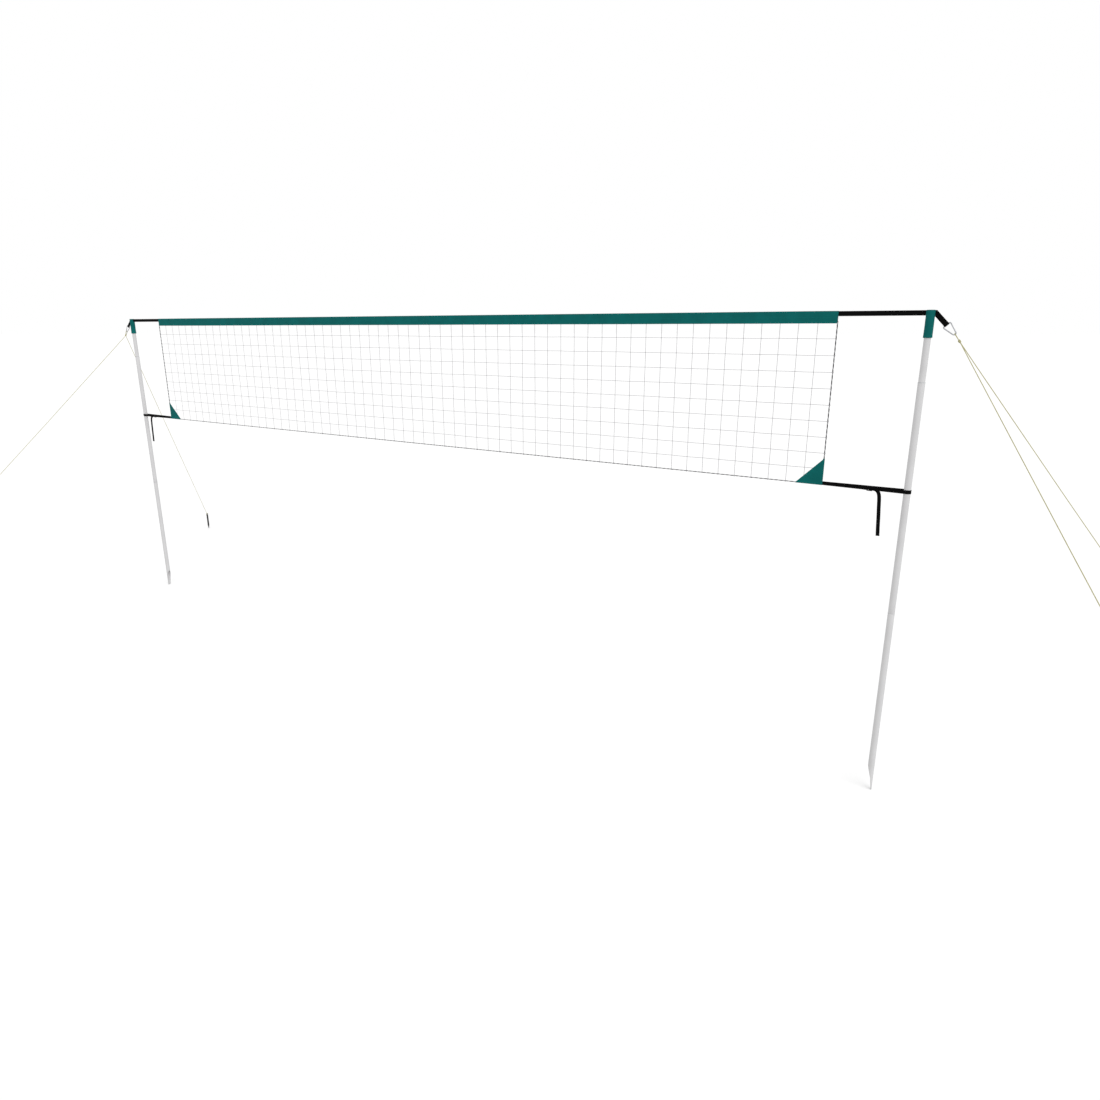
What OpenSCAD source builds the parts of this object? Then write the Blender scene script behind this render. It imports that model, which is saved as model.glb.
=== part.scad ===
// Volleyball net on two telescopic poles, held by four guy ropes and ground pegs.
// Millimetres. +X runs along the net, +Y across it, +Z up. The origin is midway between the
// poles, at the level of the tips of the feet and pegs, which stand below the ground line.

/* [Net] */
// Length of the net between its side cords
net_length = 6000; // [4000:100:9000]
// Height of the net's top edge above the ground
net_top = 2438; // [2300:1:2500]
// Columns of mesh in the grid
mesh_columns = 30; // [20:1:30]
// Rows of mesh
mesh_rows = 10; // [8:1:10]
// Height of one row of mesh
row_pitch = 85; // [75:1:95]
// Thickness of a mesh cord
mesh_cord = 2.4; // [1.5:0.1:2.4]
// Diameter of the cords down the net's two sides
side_cord_d = 6; // [4:0.5:7]
// Diameter of the cord along the net's bottom
bottom_cord_d = 5; // [3:0.5:6]

/* [Band, patches and sleeves] */
// Height of the tape band along the top
band_h = 62; // [45:1:80]
// Thickness of the folded band, front to back
band_t = 5.2; // [4.8:0.1:8]
// Thickness of the band's fabric
band_wall = 1.2; // [0.8:0.1:1.4]
// How far the mesh reaches up into the band
band_grip = 9; // [3:1:15]
// Length of the short sides of the corner patches
patch_leg = 141; // [80:1:200]
// Thickness of the corner patches' fabric
patch_wall = 1.2; // [0.8:0.1:2]
// Outer diameter of the fabric sleeve on a pole's top
sleeve_d = 42.5; // [41:0.5:50]
// Height of the sleeve
sleeve_h = 131; // [90:1:180]
// Thickness of the sleeve's doubled fabric
sleeve_wall = 3; // [2:0.5:4]

/* [Webbing] */
// Width of the webbing along the top
top_strap_w = 25; // [18:1:30]
// Width of the webbing at the bottom corners
low_strap_w = 20; // [15:1:25]
// Thickness of the webbing
strap_t = 1.6; // [1.2:0.1:1.8]
// Slope of the strap from the pole's top down to the carabiner
leg_angle = 46; // [40:1:50]
// How far the strap runs on past the sleeve before it bends down
bend_out = 6; // [0:0.5:10]
// Distance from the bend at the pole's top to the carabiner's wide end
leg_reach = 78; // [65:1:90]
// Distance from the net's corner to the ladder buckle's middle bar
buckle_reach = 245; // [120:1:260]
// Distance between the bars of the ladder buckle
buckle_bar_pitch = 12; // [12:1:18]
// Thickness of the buckle's bars and frame
buckle_t = 4; // [3:0.5:5]

/* [Poles] */
// Distance from the net's side cord to the pole's axis
pole_gap = 430; // [360:5:600]
// Outer diameter of the pole
pole_d = 35; // [35:0.5:36]
// Wall of the foot and middle tubes
pole_wall = 1; // [0.8:0.1:1.5]
// Wall of the inner tube that slides in the middle tube
inner_wall = 1.2; // [1:0.1:2]
// Gap between the inner tube and the middle tube
slide_gap = 0.2; // [0.15:0.05:0.3]
// Depth that the feet and the pegs stand in the ground
ground_depth = 205; // [190:1:260]
// Height of the joint between foot tube and middle tube above the ground
joint_h = 875; // [600:5:1200]
// Height of the mouth of the pole's outer tube above the ground
mouth_h = 2095; // [1950:5:2110]
// How far the inner tube reaches down into the middle tube
inner_grip = 320; // [200:5:450]
// Length of the ferrule that joins foot tube and middle tube
ferrule_l = 220; // [120:5:300]
// Wall of the ferrule
ferrule_wall = 1.5; // [1:0.1:3]
// Height of the guide ring on the mouth of the outer tube
ring_h = 4; // [3:0.5:8]
// Height of the foot's slanted cut
foot_cut_h = 155; // [100:1:190]

/* [Twist lock] */
// Height of the split collar that grips the outer tube
collar_h = 12; // [8:1:20]
// Diameter of the cam inside the collar
cam_d = 24; // [20:1:26]
// How far the cam stands off the pole's axis
cam_offset = 1.2; // [0.8:0.1:1.5]
// Length of the lock's plug inside the inner tube
plug_l = 25; // [15:1:40]

/* [Carabiner] */
// Diameter of the carabiner's wire
wire_d = 6; // [5:0.5:6.5]
// Length from its wide end to its narrow end, between the wire's centres
hook_l = 62; // [56:1:75]
// Radius of its narrow end, at the wire's centre
narrow_r = 8; // [7.5:0.5:9]
// Half width of the straight bar at its wide end
bar_half = 12.5; // [12:0.5:15]
// Radius of the corners at its wide end, at the wire's centre
corner_r = 6; // [5.5:0.5:7.5]

/* [Ropes and pegs] */
// Diameter of the guy ropes
rope_d = 4; // [3:0.5:5]
// Width of a peg's blade
peg_w = 20; // [16:1:28]
// Thickness of a peg's blade
peg_t = 4; // [3:0.5:6]
// Depth of the stiffening rib behind a peg's blade
peg_rib = 8; // [5:0.5:12]

/* [Hidden] */
$fn = 64;

pole_colour = "#cbcacb";
plastic_colour = "#b9babc";
green = "#14635c";
black = "#151515";
cord_colour = "#c3c1c4";
border_colour = "#5c5c5e";
steel = "#c8c9cb";
rope_colour = "#d6d5c4";

// Small gaps: between sewn pieces, soft pieces that slide, and parts that turn in each other.
sew_gap = 0.1;
soft_gap = 0.4;
run_gap = 0.05;
joint_gap = 0.6; // the seam between the foot tube and the middle tube
over = 1; // how far a cutting shape runs past what it cuts

// The guy rope of the right far corner, from its knot below the carabiner to its peg, counted
// from the pole's axis.
rope_points = [
    [150, 5, 2485], [230, 87, 2369], [310, 169, 2254], [390, 251, 2139], [470, 333, 2024],
    [550, 415, 1909], [630, 497, 1794], [710, 579, 1679], [790, 661, 1565], [870, 743, 1451],
    [950, 825, 1337], [1030, 907, 1223], [1110, 989, 1109], [1190, 1071, 995], [1270, 1153, 882],
    [1350, 1235, 769], [1430, 1317, 656], [1510, 1399, 543], [1590, 1481, 430], [1670, 1563, 317],
    [1750, 1645, 205],
];

net_x = net_length / 2;
pole_x = net_x + pole_gap;
rope_route = [for (p = rope_points) p + [pole_x, 0, 0]];
rope_start = rope_route[0];
rope_end = rope_route[len(rope_route) - 1];
top_z = ground_depth + net_top;
band_bottom_z = top_z - band_h;
net_bottom_z = band_bottom_z + band_grip - mesh_rows * row_pitch;

pole_r = pole_d / 2;
bore_r = pole_r - pole_wall;
inner_r = bore_r - slide_gap;
joint_z = ground_depth + joint_h;
mouth_z = ground_depth + mouth_h;
inner_z = mouth_z - inner_grip;

strap_top_z = top_z - band_wall - sew_gap;
strap_mid_z = strap_top_z - top_strap_w / 2;
cap_top_z = strap_top_z - top_strap_w - soft_gap;
sleeve_r = sleeve_d / 2;
sleeve_bore_r = sleeve_r - sleeve_wall;

// The bend of the top strap, on its middle line, with its upper corner a little past the sleeve.
bend_in = top_strap_w / 2 * tan(leg_angle / 2);
elbow_x = pole_x + sleeve_r + bend_out - bend_in;
// The cap's flat top ends inside the bend's lower corner, and its shoulder clears the strap.
cap_flat_r = sleeve_r - 2 * bend_in - soft_gap;
cap_shoulder = (inner_r - cap_flat_r) * tan(leg_angle) + soft_gap;
cap_lid = cap_shoulder + 1.5;
fold_l = 22; // sewn length of the loop's two layers on the strap
taper_l = 17; // length over which they open round the carabiner's bar
strap_leg_l = leg_reach - taper_l;

wire_r = wire_d / 2;
hook_x = elbow_x + leg_reach * cos(leg_angle);
hook_z = strap_mid_z - leg_reach * sin(leg_angle);
tip_x = hook_x + hook_l * cos(leg_angle);
tip_z = hook_z - hook_l * sin(leg_angle);

patch_r = side_cord_d / 2 + sew_gap + patch_wall;
low_strap_z = net_bottom_z + low_strap_w / 2 - bottom_cord_d / 2;
wrap_r = pole_r + soft_gap + strap_t / 2;

// A point of the plane turned by an angle about the origin.
function turned(p, a) = [p[0] * cos(a) - p[1] * sin(a), p[0] * sin(a) + p[1] * cos(a)];
function unit(v) = v / norm(v);

module right_side() { children(); }
module left_side() { mirror([1, 0, 0]) children(); }
module near_side() { mirror([0, 1, 0]) children(); }

module at_pole() { translate([pole_x, 0, 0]) children(); }

module tube(r, wall, h) {
    difference() {
        cylinder(r = r, h = h);
        translate([0, 0, -over]) cylinder(r = r - wall, h = h + 2 * over);
    }
}

// A straight strip of a given thickness between two points of the plane.
module strip(p, q, t) {
    side = unit([p[1] - q[1], q[0] - p[0]]) * t / 2;
    polygon([p - side, q - side, q + side, p + side]);
}

// A bent strip about a centre, from one angle to another, at most a half turn.
module bent_strip(c, r, a0, a1, t) {
    far = 2 * (r + t);
    mid = (a0 + a1) / 2;
    translate(c) intersection() {
        difference() {
            circle(r + t / 2);
            circle(r - t / 2);
        }
        polygon([[0, 0], turned([far, 0], a0), turned([far, 0], (a0 + mid) / 2), turned([far, 0], mid),
                 turned([far, 0], (mid + a1) / 2), turned([far, 0], a1)]);
    }
}

function arc_points(c, r, a0, a1, steps) = [for (i = [0:steps]) c + turned([r, 0], a0 + (a1 - a0) * i / steps)];

// The outline of a strap of a given thickness along a route in the plane.
function strap_edge(route, half) = [
    for (i = [0:len(route) - 1])
        let (last = len(route) - 1,
             d0 = unit(route[max(i, 1)] - route[max(i, 1) - 1]),
             d1 = unit(route[min(i, last - 1) + 1] - route[min(i, last - 1)]),
             n = unit([-d0[1] - d1[1], d0[0] + d1[0]]))
        route[i] + n * half / (n * [-d0[1], d0[0]])];
function strap_outline(route, t) =
    let (left = strap_edge(route, t / 2), right = strap_edge(route, -t / 2))
    concat(left, [for (i = [len(right) - 1:-1:0]) right[i]]);

// A round bar between two points.
module rod(p, q, r) {
    v = q - p;
    translate(p)
        rotate([0, acos(v[2] / norm(v)), atan2(v[1], v[0])])
            cylinder(r = r, h = norm(v));
}

/* ---------- poles ---------- */

module foot_tube() {
    color(pole_colour) at_pole() difference() {
        tube(pole_r, pole_wall, joint_z - joint_gap);
        // The slanted cut leaves a point on the side away from the net.
        rotate([90, 0, 0])
            linear_extrude(2 * pole_d, center = true)
                polygon([[-pole_r - over, -over], [-pole_r - over, foot_cut_h], [-pole_r, foot_cut_h],
                         [pole_r * 0.23, foot_cut_h / 2], [pole_r - 5, 0], [pole_r - 5, -over]]);
    }
}

module ferrule() {
    color(steel) at_pole() translate([0, 0, joint_z - ferrule_l / 2])
        tube(bore_r - run_gap, ferrule_wall, ferrule_l);
}

module middle_tube() {
    color(pole_colour) at_pole() translate([0, 0, joint_z])
        tube(pole_r, pole_wall, mouth_z - ring_h - joint_z);
}

module guide_ring() {
    color(plastic_colour) at_pole() translate([0, 0, mouth_z - ring_h])
        rotate_extrude()
            polygon([[inner_r + run_gap, 0], [pole_r, 0], [pole_r, ring_h - 1], [pole_r - 1, ring_h],
                     [inner_r + run_gap, ring_h]]);
}

module inner_tube() {
    color(pole_colour) at_pole() translate([0, 0, inner_z])
        tube(inner_r, inner_wall, cap_top_z - cap_lid - inner_z);
}

module post_cap() {
    stem_l = 18;
    color(plastic_colour) at_pole() translate([0, 0, cap_top_z - cap_lid]) {
        rotate_extrude() polygon([[0, 0], [inner_r, 0], [inner_r, cap_lid - cap_shoulder], [cap_flat_r, cap_lid], [0, cap_lid]]);
        translate([0, 0, -stem_l]) cylinder(r = inner_r - inner_wall - run_gap, h = stem_l);
    }
}

// The lock's plug sits in the inner tube's end, with an off-centre cam and a flange below it.
module lock_core() {
    flange_h = 3;
    color(black) at_pole() translate([0, 0, inner_z]) {
        cylinder(r = inner_r - inner_wall - run_gap, h = plug_l);
        translate([cam_offset, 0, -collar_h - 2 * soft_gap - over]) cylinder(d = cam_d, h = collar_h + 2 * (soft_gap + over));
        translate([0, 0, -collar_h - 2 * soft_gap - flange_h]) cylinder(r = inner_r - over, h = flange_h);
    }
}

// The split collar round the cam, which spreads against the outer tube when the pole is twisted.
module lock_collar() {
    slit = 3;
    color(plastic_colour) at_pole() translate([0, 0, inner_z - collar_h - soft_gap]) difference() {
        cylinder(r = bore_r - run_gap, h = collar_h);
        translate([0, 0, -over]) cylinder(r = cam_d / 2 + cam_offset + run_gap, h = collar_h + 2 * over);
        translate([0, -slit / 2, -over]) mirror([1, 0, 0]) cube([pole_d, slit, collar_h + 2 * over]);
    }
}

/* ---------- net ---------- */

module net_mesh() {
    edge_x = net_x - side_cord_d / 2;
    low = net_bottom_z + bottom_cord_d / 2;
    high = band_bottom_z + band_grip;
    column = net_length / mesh_columns;
    color(cord_colour) rotate([90, 0, 0]) linear_extrude(mesh_cord, center = true) difference() {
        translate([-edge_x, low]) square([2 * edge_x, high - low]);
        for (i = [0:mesh_columns - 1], k = [0:mesh_rows - 1]) {
            x0 = i == 0 ? -edge_x + mesh_cord : -net_x + i * column + mesh_cord / 2;
            x1 = i == mesh_columns - 1 ? edge_x - mesh_cord : -net_x + (i + 1) * column - mesh_cord / 2;
            z0 = k == 0 ? low + mesh_cord : net_bottom_z + k * row_pitch + mesh_cord / 2;
            z1 = net_bottom_z + (k + 1) * row_pitch - (k == mesh_rows - 1 ? mesh_cord : mesh_cord / 2);
            translate([x0, z0]) square([x1 - x0, z1 - z0]);
        }
    }
}

module top_band() {
    color(green) translate([-net_x, 0, 0]) rotate([90, 0, 90]) linear_extrude(net_length) difference() {
        translate([-band_t / 2, band_bottom_z]) square([band_t, band_h]);
        translate([-band_t / 2 + band_wall, band_bottom_z - over])
            square([band_t - 2 * band_wall, band_h - band_wall + over]);
    }
}

// The top strap's outline seen from the front, from one sloping end over both poles to the other.
function strap_side(half) =
    let (d = [cos(leg_angle), -sin(leg_angle)], n = [sin(leg_angle), cos(leg_angle)],
         c = [elbow_x, strap_mid_z], mitre = [half * tan(leg_angle / 2), half])
    [c - mitre, c + strap_leg_l * d - half * n, c + strap_leg_l * d + half * n, c + mitre];
function mirrored(points) = [for (i = [len(points) - 1:-1:0]) [-points[i][0], points[i][1]]];

module strap_body(grow) {
    right = strap_side(top_strap_w / 2 + grow);
    rotate([90, 0, 0]) linear_extrude(strap_t + 2 * grow, center = true)
        polygon(concat(right, mirrored(right)));
}

module top_strap() { color(black) strap_body(0); }

module bottom_cord() {
    half = net_x - side_cord_d / 2;
    color(border_colour) translate([-half, 0, net_bottom_z]) rotate([0, 90, 0])
        cylinder(d = bottom_cord_d, h = 2 * half);
}

module side_cord() {
    low = net_bottom_z - bottom_cord_d / 2;
    color(border_colour) translate([net_x, 0, low]) cylinder(d = side_cord_d, h = band_bottom_z - low);
}

// Two triangles of fabric over the net's corner, folded round its two cords.
module corner_patch() {
    slot = mesh_cord + 4 * sew_gap;
    bore = side_cord_d / 2 + sew_gap;
    color(green) translate([net_x, 0, net_bottom_z]) difference() {
        union() {
            rotate([90, 0, 0]) linear_extrude(slot + 2 * patch_wall, center = true)
                polygon([[0, 0], [0, patch_leg], [-patch_leg, 0]]);
            translate([0, 0, -bottom_cord_d / 2]) cylinder(r = patch_r, h = patch_leg + bottom_cord_d / 2);
            translate([-patch_leg, 0, 0]) rotate([0, 90, 0]) cylinder(d = bottom_cord_d + 2 * (sew_gap + patch_wall), h = patch_leg);
        }
        translate([-patch_leg - over, -slot / 2, 0]) cube([patch_leg + over, slot, patch_leg + over]);
        translate([0, 0, -patch_leg]) cylinder(r = bore, h = 3 * patch_leg);
        translate([-patch_leg - over, 0, 0]) rotate([0, 90, 0]) cylinder(d = bottom_cord_d + 2 * sew_gap, h = patch_leg + over);
    }
}

// The fabric pocket over a pole's top, closed above, with slits where the strap passes through.
module pole_sleeve() {
    color(green) difference() {
        at_pole() translate([0, 0, top_z - sleeve_h]) difference() {
            cylinder(r = sleeve_r, h = sleeve_h);
            translate([0, 0, -over]) cylinder(r = sleeve_bore_r, h = sleeve_h + over - band_wall);
        }
        strap_body(sew_gap);
    }
}

// A short piece of webbing folded round the carabiner and sewn to both faces of the strap.
module strap_loop() {
    eye_r = wire_r + soft_gap + strap_t / 2;
    layer_y = strap_t + sew_gap;
    color(black) translate([elbow_x, 0, strap_mid_z]) rotate([0, leg_angle, 0])
        linear_extrude(top_strap_w, center = true) {
            bent_strip([leg_reach, 0], eye_r, -90, 90, strap_t);
            for (s = [-1, 1]) {
                strip([leg_reach - taper_l, s * layer_y], [leg_reach, s * eye_r], strap_t);
                strip([leg_reach - taper_l - fold_l, s * layer_y], [leg_reach - taper_l, s * layer_y], strap_t);
            }
        }
}

/* ---------- bottom straps ---------- */

// The front layer runs straight from the net's corner to touch the pole's front. Its frame has
// its origin at the corner patch, x along the layer and y to the back.
front_start = [net_x + patch_r + sew_gap, -strap_t / 4];
front_d = norm([pole_x, 0] - front_start);
front_l = sqrt(pow(front_d, 2) - pow(wrap_r, 2));
front_angle = atan2(-front_start[1], pole_x - front_start[0]) - asin(wrap_r / front_d);
back_start = turned([0, 1.5 * strap_t], -front_angle);
back_d = norm([front_l, wrap_r] - back_start);
// Where the back layer meets the pole, as an angle about its axis: a little past a right angle.
back_tangent = 180 + atan2(wrap_r - back_start[1], front_l - back_start[0]) - acos(wrap_r / back_d);
bar_r = buckle_t / 2;
turn_r = bar_r + soft_gap / 2 + strap_t / 2;
bar_y = -turn_r;

module in_front_frame() {
    translate([front_start[0], front_start[1], low_strap_z]) rotate([0, 0, front_angle]) children();
}

// From the corner round the back of the pole, back along the front and round the middle bar.
module bottom_strap() {
    route = concat(
        [back_start],
        arc_points([front_l, wrap_r], wrap_r, back_tangent, -90, 36),
        arc_points([buckle_reach, bar_y], turn_r, 90, 270, 16),
        [[buckle_reach + buckle_bar_pitch, 2 * bar_y]]);
    color(black) in_front_frame() linear_extrude(low_strap_w, center = true)
        polygon(strap_outline(route, strap_t));
}

// The doubled strap that ties the buckle's first bar to the net's corner.
module anchor_strap() {
    bar_x = buckle_reach - buckle_bar_pitch;
    taper = 22;
    color(black) in_front_frame() linear_extrude(low_strap_w, center = true) {
        bent_strip([bar_x, bar_y], turn_r, -90, 90, strap_t);
        strip([bar_x - taper, 0], [bar_x, 0], strap_t);
        strip([bar_x - taper, -strap_t], [bar_x, 2 * bar_y], strap_t);
        strip([0, -strap_t / 2], [bar_x - taper, -strap_t / 2], 2 * strap_t);
    }
}

module ladder_buckle() {
    rail_h = 3;
    rail_z = low_strap_w / 2 + soft_gap;
    color(black) in_front_frame() translate([buckle_reach, bar_y, 0]) {
        for (i = [-1:1])
            translate([i * buckle_bar_pitch, 0, -rail_z - rail_h / 2])
                cylinder(r = bar_r, h = 2 * rail_z + rail_h);
        for (s = [-1, 1]) translate([0, 0, s * (rail_z + rail_h / 2)]) {
            cube([2 * buckle_bar_pitch, buckle_t, rail_h], center = true);
            for (e = [-1, 1]) translate([e * buckle_bar_pitch, 0, 0]) cylinder(r = bar_r, h = rail_h, center = true);
        }
    }
}

// The strap's loose tail leaves the buckle level, turns down and twists as it hangs. Each row is
// a point beyond the buckle, its height, and the share of the turn from level to hanging.
tail_route = [
    [0, 0, 0, 0], [8, -0.4, 0, 0.03], [17, -1.5, -1, 0.1], [25, -3, -5, 0.24], [32, -4.6, -12, 0.44],
    [37, -5.8, -21, 0.66], [40, -6.4, -32, 0.84], [42, -6.6, -46, 0.95], [44, -6.6, -70, 1],
    [46, -6.4, -100, 1], [49, -6, -140, 1], [52, -5.5, -190, 1], [56, -5, -247, 1],
];
tail_twist = -9;

module strap_tail() {
    start = front_start + turned([buckle_reach + buckle_bar_pitch + sew_gap, 2 * bar_y], front_angle);
    last = len(tail_route) - 1;
    centres = [for (p = tail_route) [start[0] + p[0], start[1] + p[1], low_strap_z + p[2]]];
    along = [for (i = [0:last])
        i == 0 ? [cos(front_angle), sin(front_angle), 0] : unit(centres[min(i + 1, last)] - centres[i - 1])];
    // The width's direction, from upright at the buckle to level and twisted where it hangs.
    across = [for (i = [0:last])
        let (share = tail_route[i][3], level = [cos(tail_twist), sin(tail_twist), 0],
             w = [0, 0, 1] * (1 - share) + level * share)
        unit(w - along[i] * (w * along[i]))];
    corners = [for (i = [0:last])
        let (a = across[i] * low_strap_w / 2, b = cross(along[i], across[i]) * strap_t / 2)
        each [centres[i] - a - b, centres[i] + a - b, centres[i] + a + b, centres[i] - a + b]];
    faces = [
        [0, 1, 2], [0, 2, 3],
        for (i = [0:last - 1], k = [0:3])
            each [[4 * i + k, 4 * i + 4 + k, 4 * i + (k + 1) % 4],
                  [4 * i + (k + 1) % 4, 4 * i + 4 + k, 4 * i + 4 + (k + 1) % 4]],
        [4 * last, 4 * last + 2, 4 * last + 1], [4 * last, 4 * last + 3, 4 * last + 2],
    ];
    color(black) polyhedron(corners, faces);
}

/* ---------- carabiner ---------- */

// The frame has its origin at the middle of the wide bar, x to the narrow end, y to the upper arm.
module in_hook_frame() {
    translate([hook_x, 0, hook_z]) rotate([0, leg_angle, 0]) rotate([90, 0, 0]) children();
}

corner_c = [corner_r, bar_half];
narrow_c = [hook_l - narrow_r, 0];
centre_line = narrow_c - corner_c;
arm_normal = atan2(centre_line[1], centre_line[0]) + acos((corner_r - narrow_r) / norm(centre_line));
arm_start = corner_c + turned([corner_r, 0], arm_normal);
arm_end = narrow_c + turned([narrow_r, 0], arm_normal);
arm_dir = unit(arm_end - arm_start);
hinge_in = 5.2; // from the start of the upper arm to the gate's pin
hinge = arm_start + hinge_in * arm_dir;
nose = arm_end - 7 * arm_dir;
tab_t = 2.2;
tab_half = 2.3;
gate_r = wire_r - 0.3;
pin_r = 1;

function flat(p) = [p[0], p[1], 0];
function below(p) = [p[0], -p[1], 0];

// The bends are a little thinner than the straights, which reach into them by the lap.
lap = 0.6;
module wire_arc(c, r, a0, a1) {
    translate(c) rotate([0, 0, a0]) rotate_extrude(angle = a1 - a0) translate([r, 0]) circle(r = wire_r - 0.12);
}

module carabiner() {
    neck = arm_start + 0.6 * arm_dir;
    color(steel) in_hook_frame() difference() {
        union() {
            rod([0, -bar_half - lap, 0], [0, bar_half + lap, 0], wire_r);
            wire_arc(flat(corner_c), corner_r, arm_normal, 180);
            wire_arc(below(corner_c), corner_r, 180, 360 - arm_normal);
            rod(below(arm_start - lap * arm_dir), below(arm_end + lap * arm_dir), wire_r);
            wire_arc(flat(narrow_c), narrow_r, -arm_normal, arm_normal);
            rod(flat(nose), flat(arm_end + lap * arm_dir), wire_r);
            rod(flat(arm_start - lap * arm_dir), flat(neck), wire_r);
            translate(flat(hinge)) {
                cylinder(r = gate_r, h = tab_t, center = true);
                rotate([0, 0, atan2(arm_dir[1], arm_dir[0])])
                    translate([-hinge_in, -tab_half, -tab_t / 2]) cube([hinge_in, 2 * tab_half, tab_t]);
            }
        }
        translate(flat(hinge)) cylinder(r = pin_r + run_gap, h = wire_d, center = true);
    }
}

module carabiner_gate() {
    tip = nose - 0.4 * arm_dir;
    color(steel) in_hook_frame() difference() {
        union() {
            rod(flat(hinge), flat(tip), gate_r);
            translate(flat(hinge)) cylinder(r = gate_r, h = 1.8 * gate_r, center = true);
        }
        translate(flat(hinge)) cylinder(r = pin_r + run_gap, h = 2 * wire_d, center = true);
        // The slot that straddles the tab.
        translate(flat(hinge)) rotate([0, 0, atan2(arm_dir[1], arm_dir[0])])
            translate([-wire_d, -wire_d, -tab_t / 2 - soft_gap / 2])
                cube([wire_d + gate_r + 0.6, 2 * wire_d, tab_t + soft_gap]);
    }
}

module gate_pin() {
    color(steel) in_hook_frame() translate(flat(hinge)) cylinder(r = pin_r, h = 1.8 * gate_r, center = true);
}

/* ---------- guy ropes ---------- */

// The rope's bight goes round the carabiner's narrow end, and an overhand knot below it parts
// the rope into its near and far runs.
module guy_knot() {
    run = [rope_start[0] - tip_x, rope_start[2] - tip_z];
    bight_r = 6;
    bight_shift = 0.5;
    close_angle = 5;
    knot_at = norm(run) - 17;
    rope_r = rope_d / 2;
    rope_dir = unit(rope_route[1] - rope_start);
    stub = 9;
    color(rope_colour) {
        translate([tip_x, 0, tip_z]) rotate([0, atan2(-run[1], run[0]), 0]) translate([bight_shift, 0, 0]) {
            rotate([0, 0, 90 - close_angle]) rotate_extrude(angle = 180 + 2 * close_angle)
                translate([bight_r, 0]) circle(r = rope_r - 0.1);
            for (s = [-1, 1]) {
                leg = [cos(close_angle), -s * sin(close_angle), 0];
                leg_start = bight_r * [sin(close_angle), s * cos(close_angle), 0];
                rod(leg_start - lap * leg, leg_start + (knot_at - bight_r) * leg, rope_r);
            }
            translate([knot_at, 0, 0]) sphere(r = 6.5);
            translate([knot_at + 7, 0, 0]) sphere(r = 6);
        }
        rod(rope_start - stub * rope_dir, rope_start, rope_r);
        near_side() rod(rope_start - stub * rope_dir, rope_start, rope_r);
    }
}

// An eight-sided tube along a route.
module rope_tube(route, r) {
    sides = 8;
    last = len(route) - 1;
    rings = [for (i = [0:last])
        let (t = unit(route[min(i + 1, last)] - route[max(i - 1, 0)]),
             side = unit(cross(t, [0, 0, 1])), up = cross(side, t))
        each [for (k = [0:sides - 1]) route[i] + r * (side * cos(360 * k / sides) + up * sin(360 * k / sides))]];
    faces = [
        for (k = [1:sides - 2]) [0, k + 1, k],
        for (i = [0:last - 1], k = [0:sides - 1])
            each [[sides * i + k, sides * i + (k + 1) % sides, sides * (i + 1) + k],
                  [sides * i + (k + 1) % sides, sides * (i + 1) + (k + 1) % sides, sides * (i + 1) + k]],
        for (k = [1:sides - 2]) [sides * last, sides * last + k, sides * last + k + 1],
    ];
    polyhedron(rings, faces);
}

module guy_rope() { color(rope_colour) rope_tube(rope_route, rope_d / 2); }

/* ---------- pegs ---------- */

// The frame has its origin below the rope's end, at the tips' level, with x away from the net.
rope_last = unit(rope_end - rope_route[len(rope_route) - 2]);
peg_heading = atan2(rope_last[1], rope_last[0]);
ring_r = 10;
blade_x = 12.5;
peg_top = ground_depth;
ring_z = peg_top - 7;

module in_peg_frame() {
    translate([rope_end[0], rope_end[1], 0]) rotate([0, 0, peg_heading]) children();
}

module peg() {
    taper_h = 45;
    point_w = 3;
    hole_d = rope_d + 4;
    rib_top = ring_z - ring_r - rope_d - 4;
    color(black) in_peg_frame() translate([blade_x, 0, 0]) {
        difference() {
            rotate([90, 0, 90]) linear_extrude(peg_t, center = true)
                polygon([[-point_w / 2, 0], [point_w / 2, 0], [peg_w / 2, taper_h], [peg_w / 2, peg_top - 4],
                         [peg_w / 2 - 4, peg_top], [4 - peg_w / 2, peg_top], [-peg_w / 2, peg_top - 4],
                         [-peg_w / 2, taper_h]]);
            translate([0, 0, ring_z - ring_r]) rotate([0, 90, 0]) cylinder(d = hole_d, h = 3 * peg_t, center = true);
        }
        translate([peg_t / 2, 0, 0]) rotate([90, 0, 0]) linear_extrude(peg_t, center = true)
            polygon([[0, taper_h / 2], [peg_rib, taper_h + peg_rib], [peg_rib, rib_top - peg_rib], [0, rib_top]]);
    }
}

// The rope's end loop through the peg's hole and over its head, with its knot in front.
module peg_knot() {
    color(rope_colour) {
        in_peg_frame() translate([blade_x, 0, ring_z]) rotate([90, 0, 0]) rotate_extrude()
            translate([ring_r, 0]) circle(d = rope_d);
        rod(rope_end, rope_end + 8 * rope_last, 4.5);
    }
}

left_side() foot_tube();  // left_foot_tube
left_side() ferrule();  // left_ferrule
left_side() middle_tube();  // left_middle_tube
left_side() guide_ring();  // left_guide_ring
left_side() inner_tube();  // left_inner_tube
left_side() post_cap();  // left_post_cap
left_side() lock_core();  // left_lock_core
left_side() lock_collar();  // left_lock_collar
right_side() foot_tube();  // right_foot_tube
right_side() ferrule();  // right_ferrule
right_side() middle_tube();  // right_middle_tube
right_side() guide_ring();  // right_guide_ring
right_side() inner_tube();  // right_inner_tube
right_side() post_cap();  // right_post_cap
right_side() lock_core();  // right_lock_core
right_side() lock_collar();  // right_lock_collar
net_mesh();
top_band();
top_strap();
bottom_cord();
left_side() side_cord();  // left_side_cord
left_side() corner_patch();  // left_corner_patch
left_side() pole_sleeve();  // left_pole_sleeve
left_side() strap_loop();  // left_strap_loop
left_side() anchor_strap();  // left_anchor_strap
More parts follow.
